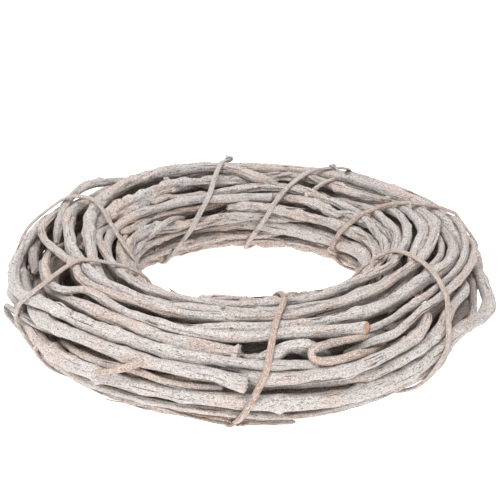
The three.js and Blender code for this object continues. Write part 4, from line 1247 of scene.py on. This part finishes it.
def strip_material(name, colours):
    """Split vine: fine fibres along the strip, browner where its tone is high, and specks of chalk."""
    nodes = Nodes(name)
    grain = nodes.attribute("grain", "Vector")
    tone = nodes.attribute("tone")
    fibres = nodes.noise(grain, 1500.0, 0.06, 4.0, 0.6)
    bands = nodes.noise(grain, 130.0, 0.25, 3.0, 0.6)
    speckle = nodes.noise(grain, 1300.0, 0.4, 2.0, 0.7)
    warmth = nodes.total((tone, 1.0), (nodes.math("SUBTRACT", bands, 0.5), 1.6))
    colour = nodes.mix(nodes.ramp(warmth, 0.0, 1.0), colours.wash_grey, colours.strip)
    colour = nodes.cover(colour, nodes.ramp(fibres, 0.46, 0.62), 0.65, colours.bark)
    colour = nodes.cover(colour, nodes.ramp(speckle, 0.5, 0.6), 0.6, colours.dust)
    normal = nodes.bump(nodes.math("ADD", fibres, speckle), STRIP_BUMP)
    return nodes.finish(colour, nodes.ramp(fibres, -1.6, 1.3), normal)


def blended(first, second, share):
    """A colour between two, with the given share of the second."""
    return tuple((1 - share) * a + share * b for a, b in zip(first, second))


# The material that each finish becomes
FINISHES = {
    "whitewashed_bark": "washed_bark_finish",
    "pale_pink_bark": "pink_bark_finish",
    "bare_brown_bark": "brown_bark_finish",
    "split_strip": "strip_finish",
    "torn_wood": "torn_wood_finish",
    "cut_wood": "cut_wood_finish",
}


def wreath_materials():
    """The finishes of the wreath by slot name, made once."""
    if "washed_bark_finish" in bpy.data.materials:
        return {name: bpy.data.materials[finish] for name, finish in FINISHES.items()}
    colours = bpy.context.scene.wreath_colours
    grey, pink = colours.wash_grey, colours.wash_pink
    brownish = blended(pink, colours.rust, 0.45)
    greyish = blended(grey, colours.bark, 0.4)
    return {
        "whitewashed_bark": bark_material("washed_bark_finish", grey, pink, colours, 0.0),
        "pale_pink_bark": bark_material("pink_bark_finish", grey, pink, colours, 0.05),
        "bare_brown_bark": bark_material("brown_bark_finish", greyish, brownish, colours, 0.1),
        "split_strip": strip_material("strip_finish", colours),
        "torn_wood": end_wood_material("torn_wood_finish", colours, grey, pink),
        "cut_wood": end_wood_material("cut_wood_finish", colours, colours.fresh_wood, brownish),
    }


# Operators

WHITE = (1.0, 1.0, 1.0, 1.0)

# The stage, in metres: the floor, and the light overhead
FLOOR_RADIUS, FLOOR_SIDES = 60.0, 96
KEY_SIZE = 0.9
KEY_PLACE = (-0.25, -0.45, 1.25)

# The width of the camera's sensor in mm
SENSOR = 36.0


def make_shoots(names, context):
    """Makes the shoots of those names with the scene's settings."""
    materials = wreath_materials()
    for name in names:
        make_shoot(name, context.scene.wreath_bark, materials)


class WREATH_OT_front_shoots(bpy.types.Operator):
    """Make the shoots that the front, top and sides of the wreath show"""

    bl_idname = "wreath.front_shoots"
    bl_label = "Shoots that show"

    def execute(self, context):
        make_shoots([name for name in SHOOTS if name not in UNDERSIDE_SHOOTS], context)
        return {"FINISHED"}


class WREATH_OT_inner_shoots(bpy.types.Operator):
    """Make the shoots of the underside and of the inside of the bundle"""

    bl_idname = "wreath.inner_shoots"
    bl_label = "Inner and lower shoots"

    def execute(self, context):
        make_shoots(UNDERSIDE_SHOOTS + CORE_SHOOTS, context)
        return {"FINISHED"}


class WREATH_OT_strips(bpy.types.Operator):
    """Make the binding strips with their knots and loose ends"""

    bl_idname = "wreath.strips"
    bl_label = "Binding strips"

    def execute(self, context):
        materials = wreath_materials()
        for name in STRIPS:
            make_strip(name, materials)
        return {"FINISHED"}


class WREATH_OT_stage(bpy.types.Operator):
    """Make the pale floor, the soft studio light and the camera"""

    bl_idname = "wreath.stage"
    bl_label = "Stage"

    def execute(self, context):
        settings = context.scene.wreath_stage
        floor = bmesh.new()
        bmesh.ops.create_circle(floor, cap_ends=True, segments=FLOOR_SIDES, radius=FLOOR_RADIUS)
        data = bpy.data.meshes.new("floor")
        floor.to_mesh(data)
        floor.free()
        piece = bpy.data.objects.new("floor", data)
        context.scene.collection.objects.link(piece)
        nodes = Nodes("pale_floor")
        look = {"Base Color": settings.floor, "Roughness": 0.9, "Specular IOR Level": 0.0,
                "Emission Color": WHITE, "Emission Strength": settings.floor_glow}
        for name, value in look.items():
            nodes.put(value, nodes.shader.inputs[name])
        data.materials.append(nodes.material)

        world = bpy.data.worlds.new("studio")
        world.use_nodes = True
        surround = world.node_tree.nodes["Background"]
        surround.inputs["Color"].default_value = WHITE
        surround.inputs["Strength"].default_value = settings.surround
        context.scene.world = world
        context.scene.view_settings.view_transform = "Standard"

        light = bpy.data.lights.new("key", "AREA")
        light.shape = "DISK"
        light.size = KEY_SIZE
        light.energy = settings.key_power
        key = bpy.data.objects.new("key", light)
        key.location = KEY_PLACE
        key.rotation_euler = (Vector(RING_CENTRE) - key.location).to_track_quat("-Z", "Y").to_euler()
        context.scene.collection.objects.link(key)

        lens = bpy.data.cameras.new("camera")
        lens.sensor_width = SENSOR
        lens.lens = settings.lens
        camera = bpy.data.objects.new("camera", lens)
        aim = Vector((RING_CENTRE[0], RING_CENTRE[1], settings.aim_height))
        back = Vector((0, -math.cos(settings.camera_height), math.sin(settings.camera_height)))
        camera.location = aim + back * settings.camera_distance
        camera.rotation_euler = (-back).to_track_quat("-Z", "Y").to_euler()
        context.scene.collection.objects.link(camera)
        context.scene.camera = camera
        return {"FINISHED"}


class WREATH_PT_panel(bpy.types.Panel):
    """Lists the steps that make the wreath"""

    bl_idname = "WREATH_PT_panel"
    bl_label = "Twig wreath"
    bl_space_type = "VIEW_3D"
    bl_region_type = "UI"
    bl_category = "Wreath"

    def draw(self, context):
        for operator in OPERATORS:
            self.layout.operator(operator.bl_idname)


OPERATORS = (WREATH_OT_front_shoots, WREATH_OT_inner_shoots, WREATH_OT_strips, WREATH_OT_stage)
SETTINGS = {
    "wreath_bark": WreathBarkSettings,
    "wreath_colours": WreathColourSettings,
    "wreath_stage": WreathStageSettings,
}


def register():
    """Registers the settings, operators and panel."""
    for name, group in SETTINGS.items():
        bpy.utils.register_class(group)
        setattr(bpy.types.Scene, name, PointerProperty(type=group))
    for item in (*OPERATORS, WREATH_PT_panel):
        bpy.utils.register_class(item)


def unregister():
    """Removes what register added."""
    for item in (WREATH_PT_panel, *reversed(OPERATORS)):
        bpy.utils.unregister_class(item)
    for name, group in reversed(SETTINGS.items()):
        delattr(bpy.types.Scene, name)
        bpy.utils.unregister_class(group)


def main():
    """Makes the whole wreath on its stage."""
    register()
    for operator in OPERATORS:
        group, action = operator.bl_idname.split(".")
        getattr(getattr(bpy.ops, group), action)()


if __name__ == "__main__":
    main()
